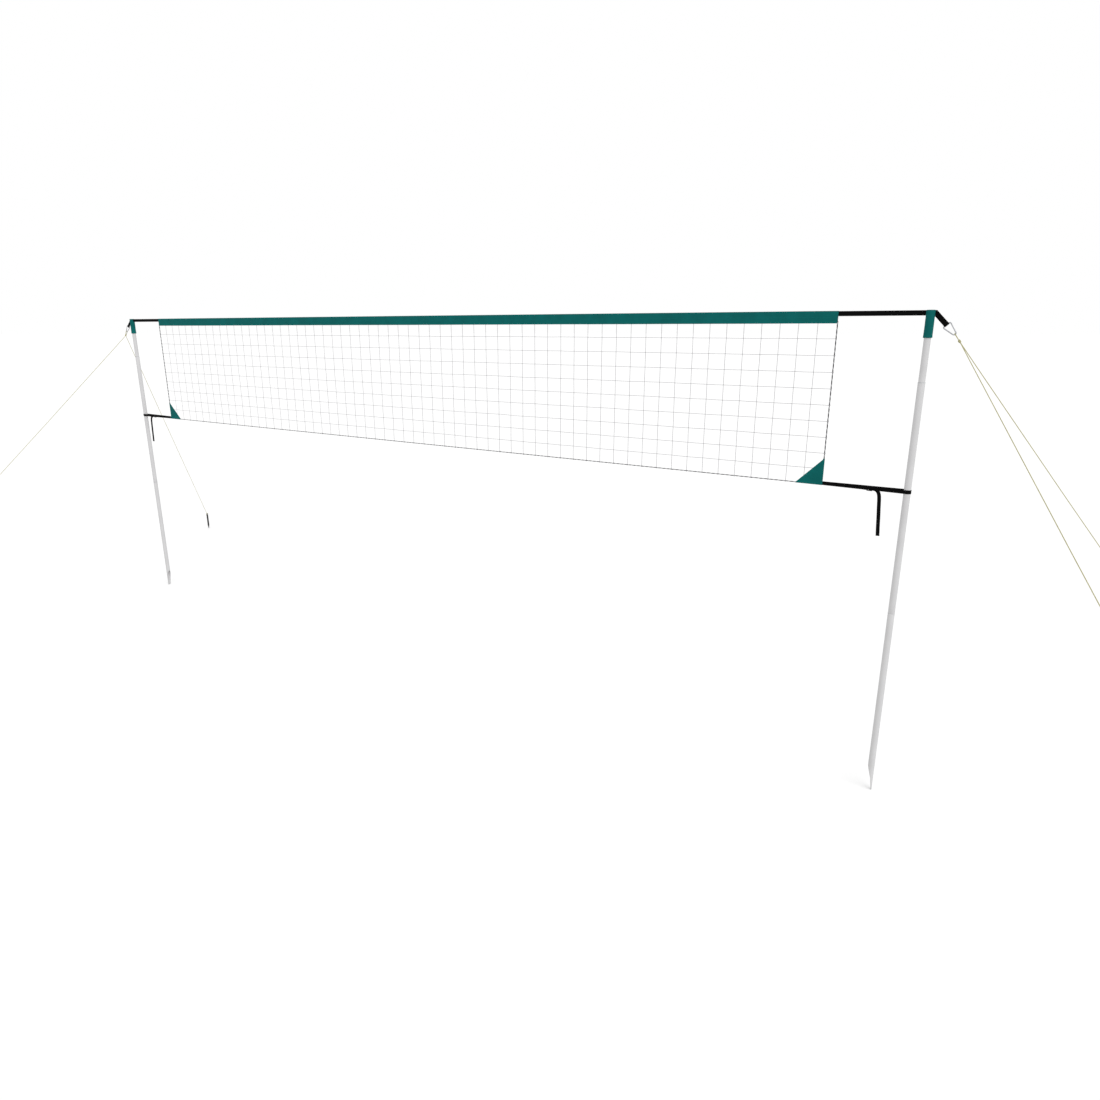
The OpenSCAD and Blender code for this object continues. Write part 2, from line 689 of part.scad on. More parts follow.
left_side() ladder_buckle();  // left_ladder_buckle
left_side() bottom_strap();  // left_bottom_strap
left_side() strap_tail();  // left_strap_tail
right_side() side_cord();  // right_side_cord
right_side() corner_patch();  // right_corner_patch
right_side() pole_sleeve();  // right_pole_sleeve
right_side() strap_loop();  // right_strap_loop
right_side() anchor_strap();  // right_anchor_strap
right_side() ladder_buckle();  // right_ladder_buckle
right_side() bottom_strap();  // right_bottom_strap
right_side() strap_tail();  // right_strap_tail
left_side() carabiner();  // left_carabiner
left_side() carabiner_gate();  // left_carabiner_gate
left_side() gate_pin();  // left_gate_pin
left_side() guy_knot();  // left_guy_knot
right_side() carabiner();  // right_carabiner
right_side() carabiner_gate();  // right_carabiner_gate
right_side() gate_pin();  // right_gate_pin
right_side() guy_knot();  // right_guy_knot
left_side() near_side() guy_rope();  // left_near_rope
left_side() guy_rope();  // left_far_rope
near_side() guy_rope();  // right_near_rope
guy_rope();  // right_far_rope
left_side() near_side() peg();  // left_near_peg
left_side() peg();  // left_far_peg
near_side() peg();  // right_near_peg
peg();  // right_far_peg
left_side() near_side() peg_knot();  // left_near_peg_knot
left_side() peg_knot();  // left_far_peg_knot
near_side() peg_knot();  // right_near_peg_knot
peg_knot();  // right_far_peg_knot
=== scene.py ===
"""A volleyball net on two telescopic poles, dressed over its CAD frame.

The fittings keep their CAD form and get their finishes. Every other surface is worked out with
numpy as a grid of points, in metres, in the frame's own coordinates: X along the net, Y across
it, Z up. Texture coordinates are metres too, save on cords, where the first is the share of a
turn round the cord.
"""

import math

import bpy
import numpy as np
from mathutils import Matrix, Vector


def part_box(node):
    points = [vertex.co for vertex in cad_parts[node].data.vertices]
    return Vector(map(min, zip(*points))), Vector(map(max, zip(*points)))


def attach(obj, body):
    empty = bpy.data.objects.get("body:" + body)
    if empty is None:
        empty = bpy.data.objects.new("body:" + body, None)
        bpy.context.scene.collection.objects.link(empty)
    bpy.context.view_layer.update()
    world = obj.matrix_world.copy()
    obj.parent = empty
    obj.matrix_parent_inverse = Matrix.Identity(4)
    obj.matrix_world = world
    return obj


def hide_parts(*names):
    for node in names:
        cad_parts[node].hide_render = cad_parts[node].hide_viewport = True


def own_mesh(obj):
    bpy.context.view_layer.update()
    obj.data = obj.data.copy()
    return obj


bl_info = {
    "name": "Volleyball net on poles",
    "version": (1, 0, 0),
    "blender": (4, 5, 0),
    "location": "View3D > Sidebar > Volleyball Net",
    "description": "Dresses the net, its poles, straps, ropes and pegs over their CAD frame",
    "category": "Add Mesh",
}

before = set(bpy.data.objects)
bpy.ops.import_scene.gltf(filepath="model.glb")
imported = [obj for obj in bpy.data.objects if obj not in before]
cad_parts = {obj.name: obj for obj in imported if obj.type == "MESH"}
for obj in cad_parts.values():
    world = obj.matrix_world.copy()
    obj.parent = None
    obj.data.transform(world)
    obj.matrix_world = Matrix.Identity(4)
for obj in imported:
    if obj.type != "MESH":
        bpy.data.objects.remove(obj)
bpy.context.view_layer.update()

# The net's ends with their sign along X, and its sides with their sign along Y.
SIDES = {"left": -1, "right": 1}
DEPTHS = {"near": -1, "far": 1}
TURN = 2 * math.pi

# Places that the CAD frame gives: the net's half length, the poles' axis, the main levels and
# the sleeves' lower end and height.
NET_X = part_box("top_band")[1].x
NET_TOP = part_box("top_band")[1].z
BAND_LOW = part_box("top_band")[0].z
BAND_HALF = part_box("top_band")[1].y
NET_LOW = (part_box("bottom_cord")[0].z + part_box("bottom_cord")[1].z) / 2
POLE_X = (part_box("right_middle_tube")[0].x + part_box("right_middle_tube")[1].x) / 2
POLE_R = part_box("right_middle_tube")[1].y
SLEEVE_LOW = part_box("right_pole_sleeve")[0].z
SLEEVE_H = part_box("right_pole_sleeve")[1].z - SLEEVE_LOW

# Sizes that the CAD source gives.
GROUND = 0.205  # the ground's height above the lowest point
SEW_GAP = 0.0001  # between sewn pieces
SOFT_GAP = 0.0004  # between soft pieces that slide
BAND_WALL = 0.0012
PATCH_WALL = 0.0012
STRAP_T = 0.0016
TOP_STRAP_W = 0.025
LOW_STRAP_W = 0.020
SLEEVE_R = 0.02125
SLEEVE_WALL = 0.003
LEG_ANGLE = math.radians(46)  # the top strap's slope down to the carabiner
LEG_REACH = 0.078  # from the strap's bend to the carabiner's wide end
BEND_OUT = 0.006  # how far the strap runs on past the sleeve before it bends
FOLD_L = 0.022  # sewn length of the strap loop's two layers
TAPER_L = 0.017  # length over which they open round the carabiner's bar
HOOK_L = 0.062  # the carabiner's length between its wire's centres
WIRE_R = 0.003
BUCKLE_REACH = 0.245  # from the net's corner to the buckle's middle bar
BAR_PITCH = 0.012
TURN_R = 0.003  # radius of the webbing's turn round a bar
MESH_GRIP = 0.009  # how far the mesh reaches up into the band
PATCH_LEG = 0.141  # the corner patches' short sides
SIDE_CORD_R = 0.003
BOTTOM_CORD_R = 0.0025
ROPE_R = 0.002
OUTER_WALL = 0.001
INNER_WALL = 0.0012
FOOT_CUT_H = 0.155  # height of the foot's slanted cut
KNOT_BACK = 0.017  # from the knot to the ropes' start
BIGHT_R = 0.006
BIGHT_SHIFT = 0.0005
BIGHT_CLOSE = 5  # degrees by which the bight's legs lean in
PEG_RING_R = 0.010
PEG_RING_DROP = 0.007  # from the peg's top down to the ring's centre
PEG_BLADE_X = 0.0125  # from the rope's end to the peg's blade

# How far up into the band the side cords go.
CORD_GRIP = 0.012

# How much further than in the CAD the webbing's folds reach over the buckle's bars, so that no
# light shows between them.
FOLD_SLACK = 0.0016
# Length of one turn of the border cords' strands.
BORDER_LAY = 0.0285
# The green tape's sewing: the thread's width on the tape and the distance between stitches.
THREAD = 0.001
STITCH_PITCH = 0.0045

# The guy rope's route at the right far corner, counted from the pole's axis.
ROPE_POINTS = [
    (0.150, 0.005, 2.485), (0.230, 0.087, 2.369), (0.310, 0.169, 2.254), (0.390, 0.251, 2.139),
    (0.470, 0.333, 2.024), (0.550, 0.415, 1.909), (0.630, 0.497, 1.794), (0.710, 0.579, 1.679),
    (0.790, 0.661, 1.565), (0.870, 0.743, 1.451), (0.950, 0.825, 1.337), (1.030, 0.907, 1.223),
    (1.110, 0.989, 1.109), (1.190, 1.071, 0.995), (1.270, 1.153, 0.882), (1.350, 1.235, 0.769),
    (1.430, 1.317, 0.656), (1.510, 1.399, 0.543), (1.590, 1.481, 0.430), (1.670, 1.563, 0.317),
    (1.750, 1.645, 0.205),
]
# The strap tail: millimetres beyond the buckle, to the front and up, and its share of the turn.
TAIL_POINTS = [
    (0, 0, 0, 0), (8, -0.4, 0, 0.03), (17, -1.5, -1, 0.1), (25, -3, -5, 0.24), (32, -4.6, -12, 0.44),
    (37, -5.8, -21, 0.66), (40, -6.4, -32, 0.84), (42, -6.6, -46, 0.95), (44, -6.6, -70, 1),
    (46, -6.4, -100, 1), (49, -6, -140, 1), (52, -5.5, -190, 1), (56, -5, -247, 1),
]
TAIL_TWIST = math.radians(-9)

# Where the camera stands, and how it and the lamp are turned from straight down.
CAMERA_AT = (3.956, -4.265, 2.35 + GROUND)
CAMERA_TURN = (math.radians(73.90), 0, math.radians(32.42))
LAMP_TURN = (math.radians(52), 0, math.radians(58))
# The floor reaches this far each way, lies this far under the object and glows this much.
FLOOR_HALF = 400
FLOOR_DROP = 0.0006
FLOOR_GLOW = 0.2
WHITE = (1, 1, 1, 1)
# The corners of a square, in order.
SQUARE = np.array([(-1, -1), (1, -1), (1, 1), (-1, 1)])

X, Y, Z = np.eye(3)


# ---------- shapes ----------


def unit(v):
    """Each vector divided by its length."""
    return v / np.linalg.norm(v, axis=-1, keepdims=True)


def dot(a, b):
    """The scalar product of each pair of vectors."""
    return np.einsum("ij,ij->i", a, b)


def turned(p, angle):
    """Plane points turned about the origin by an angle in radians."""
    c, s = math.cos(angle), math.sin(angle)
    p = np.asarray(p, float)
    return np.stack([p[..., 0] * c - p[..., 1] * s, p[..., 0] * s + p[..., 1] * c], -1)


def angles(count):
    """So many angles, evenly round a circle."""
    return TURN * np.arange(count) / count


def arc(centre, radius, start, stop, steps):
    """Plane points along an arc, with its angles in degrees."""
    a = np.radians(np.linspace(start, stop, steps + 1))
    return np.asarray(centre) + radius * np.stack([np.cos(a), np.sin(a)], -1)


def table(across, down):
    """A grid of pairs: a row for each value of the second list, a column for each of the first."""
    return np.stack(np.meshgrid(across, down), -1)


def flat_path(route):
    """Plane points as points of space, at height 0."""
    return np.column_stack([route, np.zeros(len(route))])


def steps_of(path):
    """The direction before and after each point of a path, where its ends have only one."""
    step = unit(np.diff(path, axis=0))
    return np.vstack([step[:1], step]), np.vstack([step, step[-1:]])


def smooth(points, steps):
    """A Catmull-Rom curve through the points, with so many steps between neighbours.

    Each stretch is the cubic that leaves and reaches its ends along the line between the
    points on either side.
    """
    p = np.asarray(points, float)
    p = np.vstack([2 * p[0] - p[1], p, 2 * p[-1] - p[-2]])
    t = (np.arange(steps) / steps)[:, None]
    a, b, c, d = (p[i : len(p) - 3 + i, None] for i in range(4))
    squared, cubed = 2 * a - 5 * b + 4 * c - d, 3 * b - a - 3 * c + d
    curve = 0.5 * (2 * b + (c - a) * t + squared * t**2 + cubed * t**3)
    return np.vstack([curve.reshape(-1, p.shape[1]), p[-2]])


def lengths(path):
    """The distance along a path at each of its points."""
    return np.concatenate([[0], np.cumsum(np.linalg.norm(np.diff(path, axis=0), axis=1))])


def eased(t, first):
    """The share of a wrap's radius: the first one at both ends, and all of it a little way in."""
    return np.clip(np.minimum(t, 1 - t) * 14 + first, 0, 1)


class Part:
    """A closed skin: a grid of points, its quads with their texture coordinates, and its end faces."""

    def __init__(self, points, uv, joined=False):
        """Joins neighbours in a grid of rows by columns, and each row's end to its start. The last
        row is joined to the first one, or else both get an end face."""
        points, uv = np.asarray(points, float), np.asarray(uv, float)
        rows, columns = points.shape[:2]
        self.verts = points.reshape(-1, 3)
        down, along = np.arange(rows - (not joined)), np.arange(columns)
        i, j = (n.ravel() for n in np.meshgrid(down, along, indexing="ij"))
        k, m = (j + 1) % columns, (i + 1) % rows
        self.quads = np.stack([i * columns + j, i * columns + k, m * columns + k, m * columns + j], 1)
        self.uvs = np.stack([uv[i, j], uv[i, j + 1], uv[i + 1, j + 1], uv[i + 1, j]], 1)
        self.caps = []
        if not joined:
            last = along + (rows - 1) * columns
            self.caps = [(along[::-1], uv[0, :columns][::-1]), (last, uv[-1, :columns])]
        self.point_out()

    def point_out(self):
        """Turns every face round if the space that the skin encloses comes out negative. That space
        is the sum of every triangle's corners' box product."""
        v = self.verts - self.verts.mean(0)
        a, b, c, d = (v[self.quads[:, n]] for n in range(4))
        volume = dot(a, np.cross(b, c)).sum() + dot(a, np.cross(c, d)).sum()
        for loop, _ in self.caps:
            fan = v[loop]
            volume += (np.cross(fan[1:-1], fan[2:]) @ fan[0]).sum()
        if volume < 0:
            self.quads, self.uvs = self.quads[:, ::-1], self.uvs[:, ::-1]
            self.caps = [(loop[::-1], at[::-1]) for loop, at in self.caps]

    def moved(self, sign=1, basis=np.eye(3), origin=(0, 0, 0)):
        """Placed by three directions and an origin, then mirrored across X if the sign is negative."""
        copy = object.__new__(Part)
        copy.verts = (self.verts @ np.asarray(basis, float) + np.asarray(origin, float)) * [sign, 1, 1]
        copy.quads, copy.uvs, copy.caps = self.quads, self.uvs, self.caps
        copy.point_out()
        return copy

    def faces(self, shift=0):
        """Every face's points, counted on from a number."""
        return (self.quads + shift).tolist() + [(loop + shift).tolist() for loop, _ in self.caps]


def swept(path, across, through, profile):
    """Carries a plane outline along a path: a point is the path's, plus the outline's two numbers
    times the directions across and through. Texture coordinates are metres round and along."""
    path, profile = np.asarray(path, float), np.asarray(profile, float)
    across = np.broadcast_to(np.asarray(across, float), path.shape)
    through = np.broadcast_to(np.asarray(through, float), path.shape)
    points = path[:, None] + across[:, None] * profile[None, :, :1] + through[:, None] * profile[None, :, 1:]
    return Part(points, table(lengths(np.vstack([profile, profile[:1]])), lengths(path)))


def tube(path, radius, sides=12, hint=Z):
    """A round tube along a path: at each point a circle of two directions, the path's cross
    products with the hint and with the first. Its texture coordinates are the share of a turn
    and metres along."""
    path = np.asarray(path, float)
    along = unit(np.gradient(path, axis=0))
    side = unit(np.cross(along, np.asarray(hint, float)))
    up = np.cross(side, along)
    a = angles(sides)[None, :, None]
    points = path[:, None] + radius * (side[:, None] * np.cos(a) + up[:, None] * np.sin(a))
    return Part(points, table(np.arange(sides + 1) / sides, lengths(path)))


def ring(centre, radius, r, axis, steps=24, sides=10):
    """A round ring about an axis: the circle's points, carried round by a smaller circle."""
    side = unit(np.cross(axis, X if abs(axis[0]) < 0.9 else Y))
    up = np.cross(axis, side)
    a, b = TURN * np.arange(steps + 1) / steps, angles(sides)[None, :, None]
    out = (side * np.cos(a)[:, None] + up * np.sin(a)[:, None])[:-1, None]
    points = np.asarray(centre) + out * (radius + r * np.cos(b)) + np.asarray(axis) * (r * np.sin(b))
    return Part(points, table(np.arange(sides + 1) / sides, radius * a), joined=True)


def turned_about_pole(radius, height, uv_radius, joined):
    """Carries rows of radius and height round the right pole's axis, each with its own radius and
    height at each angle. Texture coordinates are metres round and along the outline."""
    sides = max(radius.shape[1], height.shape[1])
    a = angles(sides)
    r, z = (np.broadcast_to(n, (len(n), sides)) for n in (radius, height))
    points = np.stack([POLE_X + r * np.cos(a), r * np.sin(a), z], -1)
    along = lengths(np.column_stack([r[:, 0], z[:, 0]]))
    if joined:
        along = np.append(along, along[-1] + np.hypot(r[-1, 0] - r[0, 0], z[-1, 0] - z[0, 0]))
    return Part(points, table(np.append(a, TURN) * uv_radius, along), joined)


def copies(part, centres, bases):
    """One part at many places: its points times three directions, plus each centre."""
    centres, bases = np.asarray(centres, float), np.asarray(bases, float)
    n, size = len(centres), len(part.verts)
    turned_verts = np.einsum("vi,nij->nvj", part.verts, np.broadcast_to(bases, (n, 3, 3)))
    many = object.__new__(Part)
    many.verts = (turned_verts + centres[:, None]).reshape(-1, 3)
    many.quads = (part.quads[None] + np.arange(n)[:, None, None] * size).reshape(-1, 4)
    many.uvs = np.tile(part.uvs, (n, 1, 1))
    many.caps = [(loop + k * size, at) for k in range(n) for loop, at in part.caps]
    return many


def edged(width, thickness):
    """The outline of a strap cut across: two flats joined by half-round edges."""
    steps, round_steps = 8, 4
    half, r = width / 2 - thickness / 2, thickness / 2
    flat = np.linspace(-half, half, steps + 1)
    a = np.radians(np.linspace(-90, 90, round_steps + 1)[1:-1])
    return np.vstack([
        np.stack([flat, np.full_like(flat, -r)], -1),
        np.stack([half + r * np.cos(a), r * np.sin(a)], -1),
        np.stack([flat[::-1], np.full_like(flat, r)], -1),
        np.stack([-half - r * np.cos(a), -r * np.sin(a)], -1),
    ])


def linked(name, data):
    """A new object in the scene."""
    obj = bpy.data.objects.new(name, data)
    bpy.context.scene.collection.objects.link(obj)
    return obj


def piece(name, parts, body, node, finish, sharp=40):
    """Makes one object from parts, in place of a CAD node, riding on its body."""
    faces, uvs, count = [], [], 0
    for part in parts:
        faces += part.faces(count)
        uvs += [part.uvs.reshape(-1, 2), *(at for _, at in part.caps)]
        count += len(part.verts)
    mesh = bpy.data.meshes.new(name)
    mesh.from_pydata(np.vstack([part.verts for part in parts]).tolist(), [], faces)
    mesh.uv_layers.new(name="UVMap").data.foreach_set("uv", np.vstack(uvs).astype(np.float32).ravel())
    mesh.polygons.foreach_set("use_smooth", np.ones(len(mesh.polygons), bool))
    mesh.set_sharp_from_angle(angle=math.radians(sharp))
    mesh.materials.append(finish)
    obj = linked(name, mesh)
    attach(obj, body)
    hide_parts(node)
    return obj


def dress(node, finish):
    """Gives a CAD node its finish."""
    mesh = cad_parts[node].data
    mesh.materials.clear()
    mesh.materials.append(finish)


# ---------- finishes ----------


class Wire:
    """A value in a shader, which sums, products and comparisons turn into Math nodes."""

    def __init__(self, shader, socket):
        self.shader, self.socket = shader, socket

    def _math(self, operation, *values):
        return self.shader.node("ShaderNodeMath", {"operation": operation}, dict(enumerate(values)))

    def __add__(self, other):
        return self._math("ADD", self, other)

    def __sub__(self, other):
        return self._math("SUBTRACT", self, other)

    def __rsub__(self, other):
        return self._math("SUBTRACT", other, self)

    def __mul__(self, other):
        return self._math("MULTIPLY", self, other)

    def __truediv__(self, other):
        return self._math("DIVIDE", self, other)

    def __lt__(self, other):
        return self._math("LESS_THAN", self, other)

    def __abs__(self):
        return self._math("ABSOLUTE", self)

    __radd__, __rmul__ = __add__, __mul__

    def sin(self):
        return self._math("SINE", self)

    def fraction(self):
        return self._math("FRACT", self)

    def max(self, other):
        return self._math("MAXIMUM", self, other)

    def rise(self, low, high):
        """0 below the low value, 1 above the high one, and smooth between them."""
        return self.shader.node(
            "ShaderNodeMapRange", {"interpolation_type": "SMOOTHSTEP"}, {0: self, 1: low, 2: high}
        )


def any_of(values):
    """The largest of several values in a shader, so that any one of them can set it to 1."""
    largest = values[0]
    for value in values[1:]:
        largest = largest.max(value)
    return largest


class Shader:
    """A node tree that is written as expressions."""

    def __init__(self, tree):
        self.tree = tree
        tree.nodes.clear()

    def node(self, kind, settings=None, sockets=None, out=0):
        """Any node: its settings first, then its sockets' values or wires."""
        made = self.tree.nodes.new(kind)
        for key, value in (settings or {}).items():
            setattr(made, key, value)
        for key, value in (sockets or {}).items():
            if isinstance(value, Wire):
                self.tree.links.new(value.socket, made.inputs[key])
            else:
                made.inputs[key].default_value = value
        return Wire(self, made.outputs[out]) if made.outputs else None

    def mix(self, share, a, b):
        """A colour between two colours."""
        return self.node("ShaderNodeMix", {"data_type": "RGBA"}, {0: share, 6: a, 7: b}, 2)

    def noise(self, scale, detail=2, stretch=(1, 1, 1)):
        """A cloudy value about 0.5 that is fixed in the object's own space."""
        place = self.node("ShaderNodeTexCoord", None, None, 3)
        place = self.node("ShaderNodeMapping", None, {0: place, 3: stretch})
        return self.node("ShaderNodeTexNoise", None, {"Vector": place, "Scale": scale, "Detail": detail})

    def across_and_along(self):
        """The two texture coordinates."""
        place = self.node("ShaderNodeUVMap", {"uv_map": "UVMap"})
        return tuple(self.node("ShaderNodeSeparateXYZ", None, {0: place}, n) for n in (0, 1))


class Finish(Shader):
    """A material with one Principled shader."""

    def __init__(self, name, **fixed):
        self.material = bpy.data.materials.new(name)
        self.material.use_nodes = True
        super().__init__(self.material.node_tree)
        surface = self.node("ShaderNodeBsdfPrincipled")
        self.surface = surface.socket.node
        for key, value in fixed.items():
            self.surface.inputs[self.title(key)].default_value = value
        self.node("ShaderNodeOutputMaterial", None, {0: surface})

    @staticmethod
    def title(key):
        """The shader's own name for an input, from a keyword."""
        return key.replace("_", " ").title().replace("Ior", "IOR")

    def feed(self, **wires):
        """Connects what changes over the surface."""
        for key, value in wires.items():
            self.tree.links.new(value.socket, self.surface.inputs[self.title(key)])
        return self

    def bump(self, height, depth):
        """A surface that stands up by the height times the depth, in metres."""
        sockets = {"Height": height, "Distance": depth, "Strength": 1.0}
        return self.feed(normal=self.node("ShaderNodeBump", None, sockets))


def shade(colour, factor):
    """A colour made lighter or darker, with its alpha kept."""
    return tuple(min(c * factor, 1) for c in colour[:3]) + (1,)


def paint_finish(settings):
    """Powder paint: a fine orange peel, faint long scuffs, and a roughness that drifts."""
    f = Finish("pale grey paint", specular_ior_level=0.15)
    peel, cloud = f.noise(1400, 2), f.noise(9, 4)
    scuff = f.noise(160, 3, (1, 1, 0.05)).rise(0.62, 0.72) * cloud.rise(0.45, 0.7)
    colour = f.mix(cloud.rise(0.3, 0.7), shade(settings.paint, 0.965), shade(settings.paint, 1.02))
    colour = f.mix(scuff * 0.5, colour, shade(settings.paint, 0.8))
    f.feed(base_color=colour, roughness=0.36 + cloud * 0.14 + scuff * 0.2)
    return f.bump(peel - scuff * 0.4, 0.00006).material


def metal_finish(name, colour, roughness, grain):
    """Bare or plated metal: a long grain or a fine crystal, and finger marks in its roughness."""
    f = Finish(name, metallic=1.0)
    cloud, fine = f.noise(60, 4), f.noise(2200, 2, grain)
    tone = f.mix(cloud.rise(0.35, 0.7), shade(colour, 0.92), shade(colour, 1.06))
    f.feed(base_color=tone, roughness=roughness + cloud * 0.16 + fine * 0.08)
    return f.bump(fine, 0.00002).material


def plastic_finish(name, colour, roughness, gloss=0.5):
    """Moulded plastic: a spark-eroded grain, and polish where hands rub it."""
    f = Finish(name, specular_ior_level=gloss)
    cloud, grain = f.noise(50, 3), f.noise(2600, 2)
    tone = f.mix(cloud.rise(0.3, 0.7), shade(colour, 0.9), shade(colour, 1.12))
    f.feed(base_color=tone, roughness=roughness + cloud * 0.18)
    return f.bump(grain, 0.00004).material


def stitched(from_line, along):
    """1 on a row of stitches: within half a thread of the line, for two thirds of each pitch."""
    return (abs(from_line) < THREAD / 2) * ((along / STITCH_PITCH).fraction() < 0.68)


def tape_finish(name, settings, stitches):
    """Coated woven tape: a plain weave, in which each thread's hump is the product of two sines,
    soft wrinkles, and rows of stitches that the function draws from the texture coordinates."""
    f = Finish(name, specular_ior_level=0.07)
    across, along = f.across_and_along()
    turns = TURN / settings.weave
    weave = (across * turns).sin() * (along * turns).sin()
    cloud, wrinkle = f.noise(14, 4), f.noise(55, 3)
    thread = any_of(stitches(across, along))
    tone = f.mix(cloud.rise(0.3, 0.7), shade(settings.tape, 0.9), shade(settings.tape, 1.08))
    # Painted shade: the tape is darker in the hollows of the weave, where its bump is lowest.
    tone = f.mix((weave.rise(-0.9, -0.2) - 1) * -0.18, tone, shade(settings.tape, 0.55))
    tone = f.mix(thread, tone, shade(settings.tape, 1.45))
    height = weave * 0.12 + wrinkle * 3 + thread * 1.2
    f.feed(base_color=tone, roughness=0.62 + cloud * 0.2)
    return f.bump(height, 0.00025).material


def webbing_finish(settings):
    """Woven webbing: a herringbone, whose ribs lean one way and then the other across the strap."""
    f = Finish("black webbing", specular_ior_level=0.04)
    across, along = f.across_and_along()
    lean = abs((across / settings.rib).fraction() - 0.5)
    rib = ((along / (settings.rib * 0.55) + lean * 2) * TURN).sin()
    furrow = abs((across / settings.rib * 2).fraction() - 0.5).rise(0.38, 0.5)
    cloud = f.noise(30, 4)
    # Painted light and shade: the ribs' crests are lighter, and the troughs between them and the furrows are
    # darker, following the bump.
    low, high = shade(settings.webbing, 0.55), shade(settings.webbing, 1.25)
    tone = f.mix(rib.rise(-1, 0.6) * (1 - furrow), low, high)
    tone = f.mix(cloud.rise(0.55, 0.8) * 0.4, tone, shade(settings.webbing, 1.8))
    f.feed(base_color=tone, roughness=0.66 + cloud * 0.2)
    return f.bump(rib - furrow * 1.5, 0.00016).material


def cord_finish(name, colour, lay, strands, dark=None, dark_share=0.0, fuzz=0.0003):
    """Laid cord: strands wind round it once a lay, each standing up as half a sine, and some of
    them may be dark."""
    f = Finish(name, specular_ior_level=0.12)
    around, along = f.across_and_along()
    turn = around - along / lay
    strand = abs((turn * (strands * math.pi)).sin())
    yarn = abs((turn * (strands * math.pi * 5) + along * (TURN / 0.003)).sin())
    cloud = f.noise(40, 3)
    tone = f.mix(cloud.rise(0.3, 0.7), shade(colour, 0.93), shade(colour, 1.05))
    if dark:
        tone = f.mix(turn.fraction() < dark_share, tone, dark)
    # Painted shade: the grooves between the strands are darker.
    tone = f.mix((1 - strand.rise(0, 0.5)) * 0.45, tone, shade(colour, 0.35))
    f.feed(base_color=tone, roughness=0.7 + cloud * 0.15)
    return f.bump(strand + yarn * 0.25, fuzz).material


# ---------- settings ----------

COLOUR = {"subtype": "COLOR", "size": 4}


class PoleSettings(bpy.types.PropertyGroup):
    """The poles, their plastic and their steel."""

    paint: bpy.props.FloatVectorProperty(
        name="Paint", description="Colour of the poles", default=(0.64, 0.635, 0.64, 1), **COLOUR
    )
    plastic: bpy.props.FloatVectorProperty(
        name="Plastic", description="Colour of the rings, caps and collars",
        default=(0.48, 0.49, 0.50, 1), **COLOUR
    )
    steel: bpy.props.FloatVectorProperty(
        name="Steel", description="Colour of the joining tubes", default=(0.42, 0.42, 0.43, 1), **COLOUR
    )
    core: bpy.props.FloatVectorProperty(
        name="Core", description="Colour of the locks' cores", default=(0.010, 0.010, 0.011, 1), **COLOUR
    )
    sides: bpy.props.IntProperty(
        name="Sides", description="Facets round a pole", default=72, min=24, max=160
    )


class NetSettings(bpy.types.PropertyGroup):
    """The mesh and its border cords."""

    columns: bpy.props.IntProperty(
        name="Columns", description="Meshes along the net", default=61, min=10, max=120
    )
    rows: bpy.props.IntProperty(
        name="Rows", description="Meshes up the net", default=10, min=4, max=20
    )
    cord: bpy.props.FloatProperty(
        name="Cord", description="Diameter of a mesh cord",
        default=0.0024, min=0.001, max=0.004, unit="LENGTH"
    )
    slack: bpy.props.FloatProperty(
        name="Slack", description="How far a knot may lie from its place",
        default=0.0008, min=0, max=0.005, unit="LENGTH"
    )
    colour: bpy.props.FloatVectorProperty(
        name="Mesh colour", description="Colour of the mesh cords",
        default=(0.40, 0.39, 0.405, 1), **COLOUR
    )
    border: bpy.props.FloatVectorProperty(
        name="Border colour", description="Light strands of the border cords",
        default=(0.42, 0.42, 0.43, 1), **COLOUR
    )
    fleck: bpy.props.FloatVectorProperty(
        name="Fleck", description="Dark strands of the border cords",
        default=(0.012, 0.012, 0.013, 1), **COLOUR
    )


class FabricSettings(bpy.types.PropertyGroup):
    """The green tape and the black webbing."""

    tape: bpy.props.FloatVectorProperty(
        name="Tape", description="Colour of the band, sleeves and patches",
        default=(0.003, 0.117, 0.111, 1), **COLOUR
    )
    weave: bpy.props.FloatProperty(
        name="Weave", description="Pitch of the tape's threads",
        default=0.0011, min=0.0004, max=0.004, unit="LENGTH"
    )
    webbing: bpy.props.FloatVectorProperty(
        name="Webbing", description="Colour of the straps",
        default=(0.0032, 0.0032, 0.0034, 1), **COLOUR
    )
    rib: bpy.props.FloatProperty(
        name="Rib", description="Width of one herringbone in the webbing",
        default=0.0036, min=0.001, max=0.01, unit="LENGTH"
    )


class RiggingSettings(bpy.types.PropertyGroup):
    """The guy ropes, carabiners, buckles and pegs."""

    rope: bpy.props.FloatVectorProperty(
        name="Rope", description="Colour of the guy ropes", default=(0.52, 0.49, 0.27, 1), **COLOUR
    )
    lay: bpy.props.FloatProperty(
        name="Lay", description="Length of one turn of the rope's strands",
        default=0.014, min=0.004, max=0.05, unit="LENGTH"
    )
    steel: bpy.props.FloatVectorProperty(
        name="Steel", description="Colour of the carabiners", default=(0.38, 0.385, 0.40, 1), **COLOUR
    )
    buckle: bpy.props.FloatVectorProperty(
        name="Buckle", description="Colour of the buckles", default=(0.008, 0.008, 0.009, 1), **COLOUR
    )
    peg: bpy.props.FloatVectorProperty(
        name="Peg", description="Colour of the pegs", default=(0.008, 0.008, 0.008, 1), **COLOUR
    )


class StageSettings(bpy.types.PropertyGroup):
    """The floor, the light and the camera."""

    floor: bpy.props.FloatVectorProperty(
        name="Floor", description="Colour of the floor", default=(0.9, 0.9, 0.9, 1), **COLOUR
    )
    sky: bpy.props.FloatProperty(
        name="Sky", description="Strength of the even light", default=0.72, min=0, max=3
    )
    lamp: bpy.props.FloatProperty(
        name="Lamp", description="Strength of the soft lamp", default=1.1, min=0, max=10
    )
    lens: bpy.props.FloatProperty(
        name="Lens", description="Focal length on a 36 mm sensor",
        default=25.09, min=5, max=200, unit="CAMERA"
    )


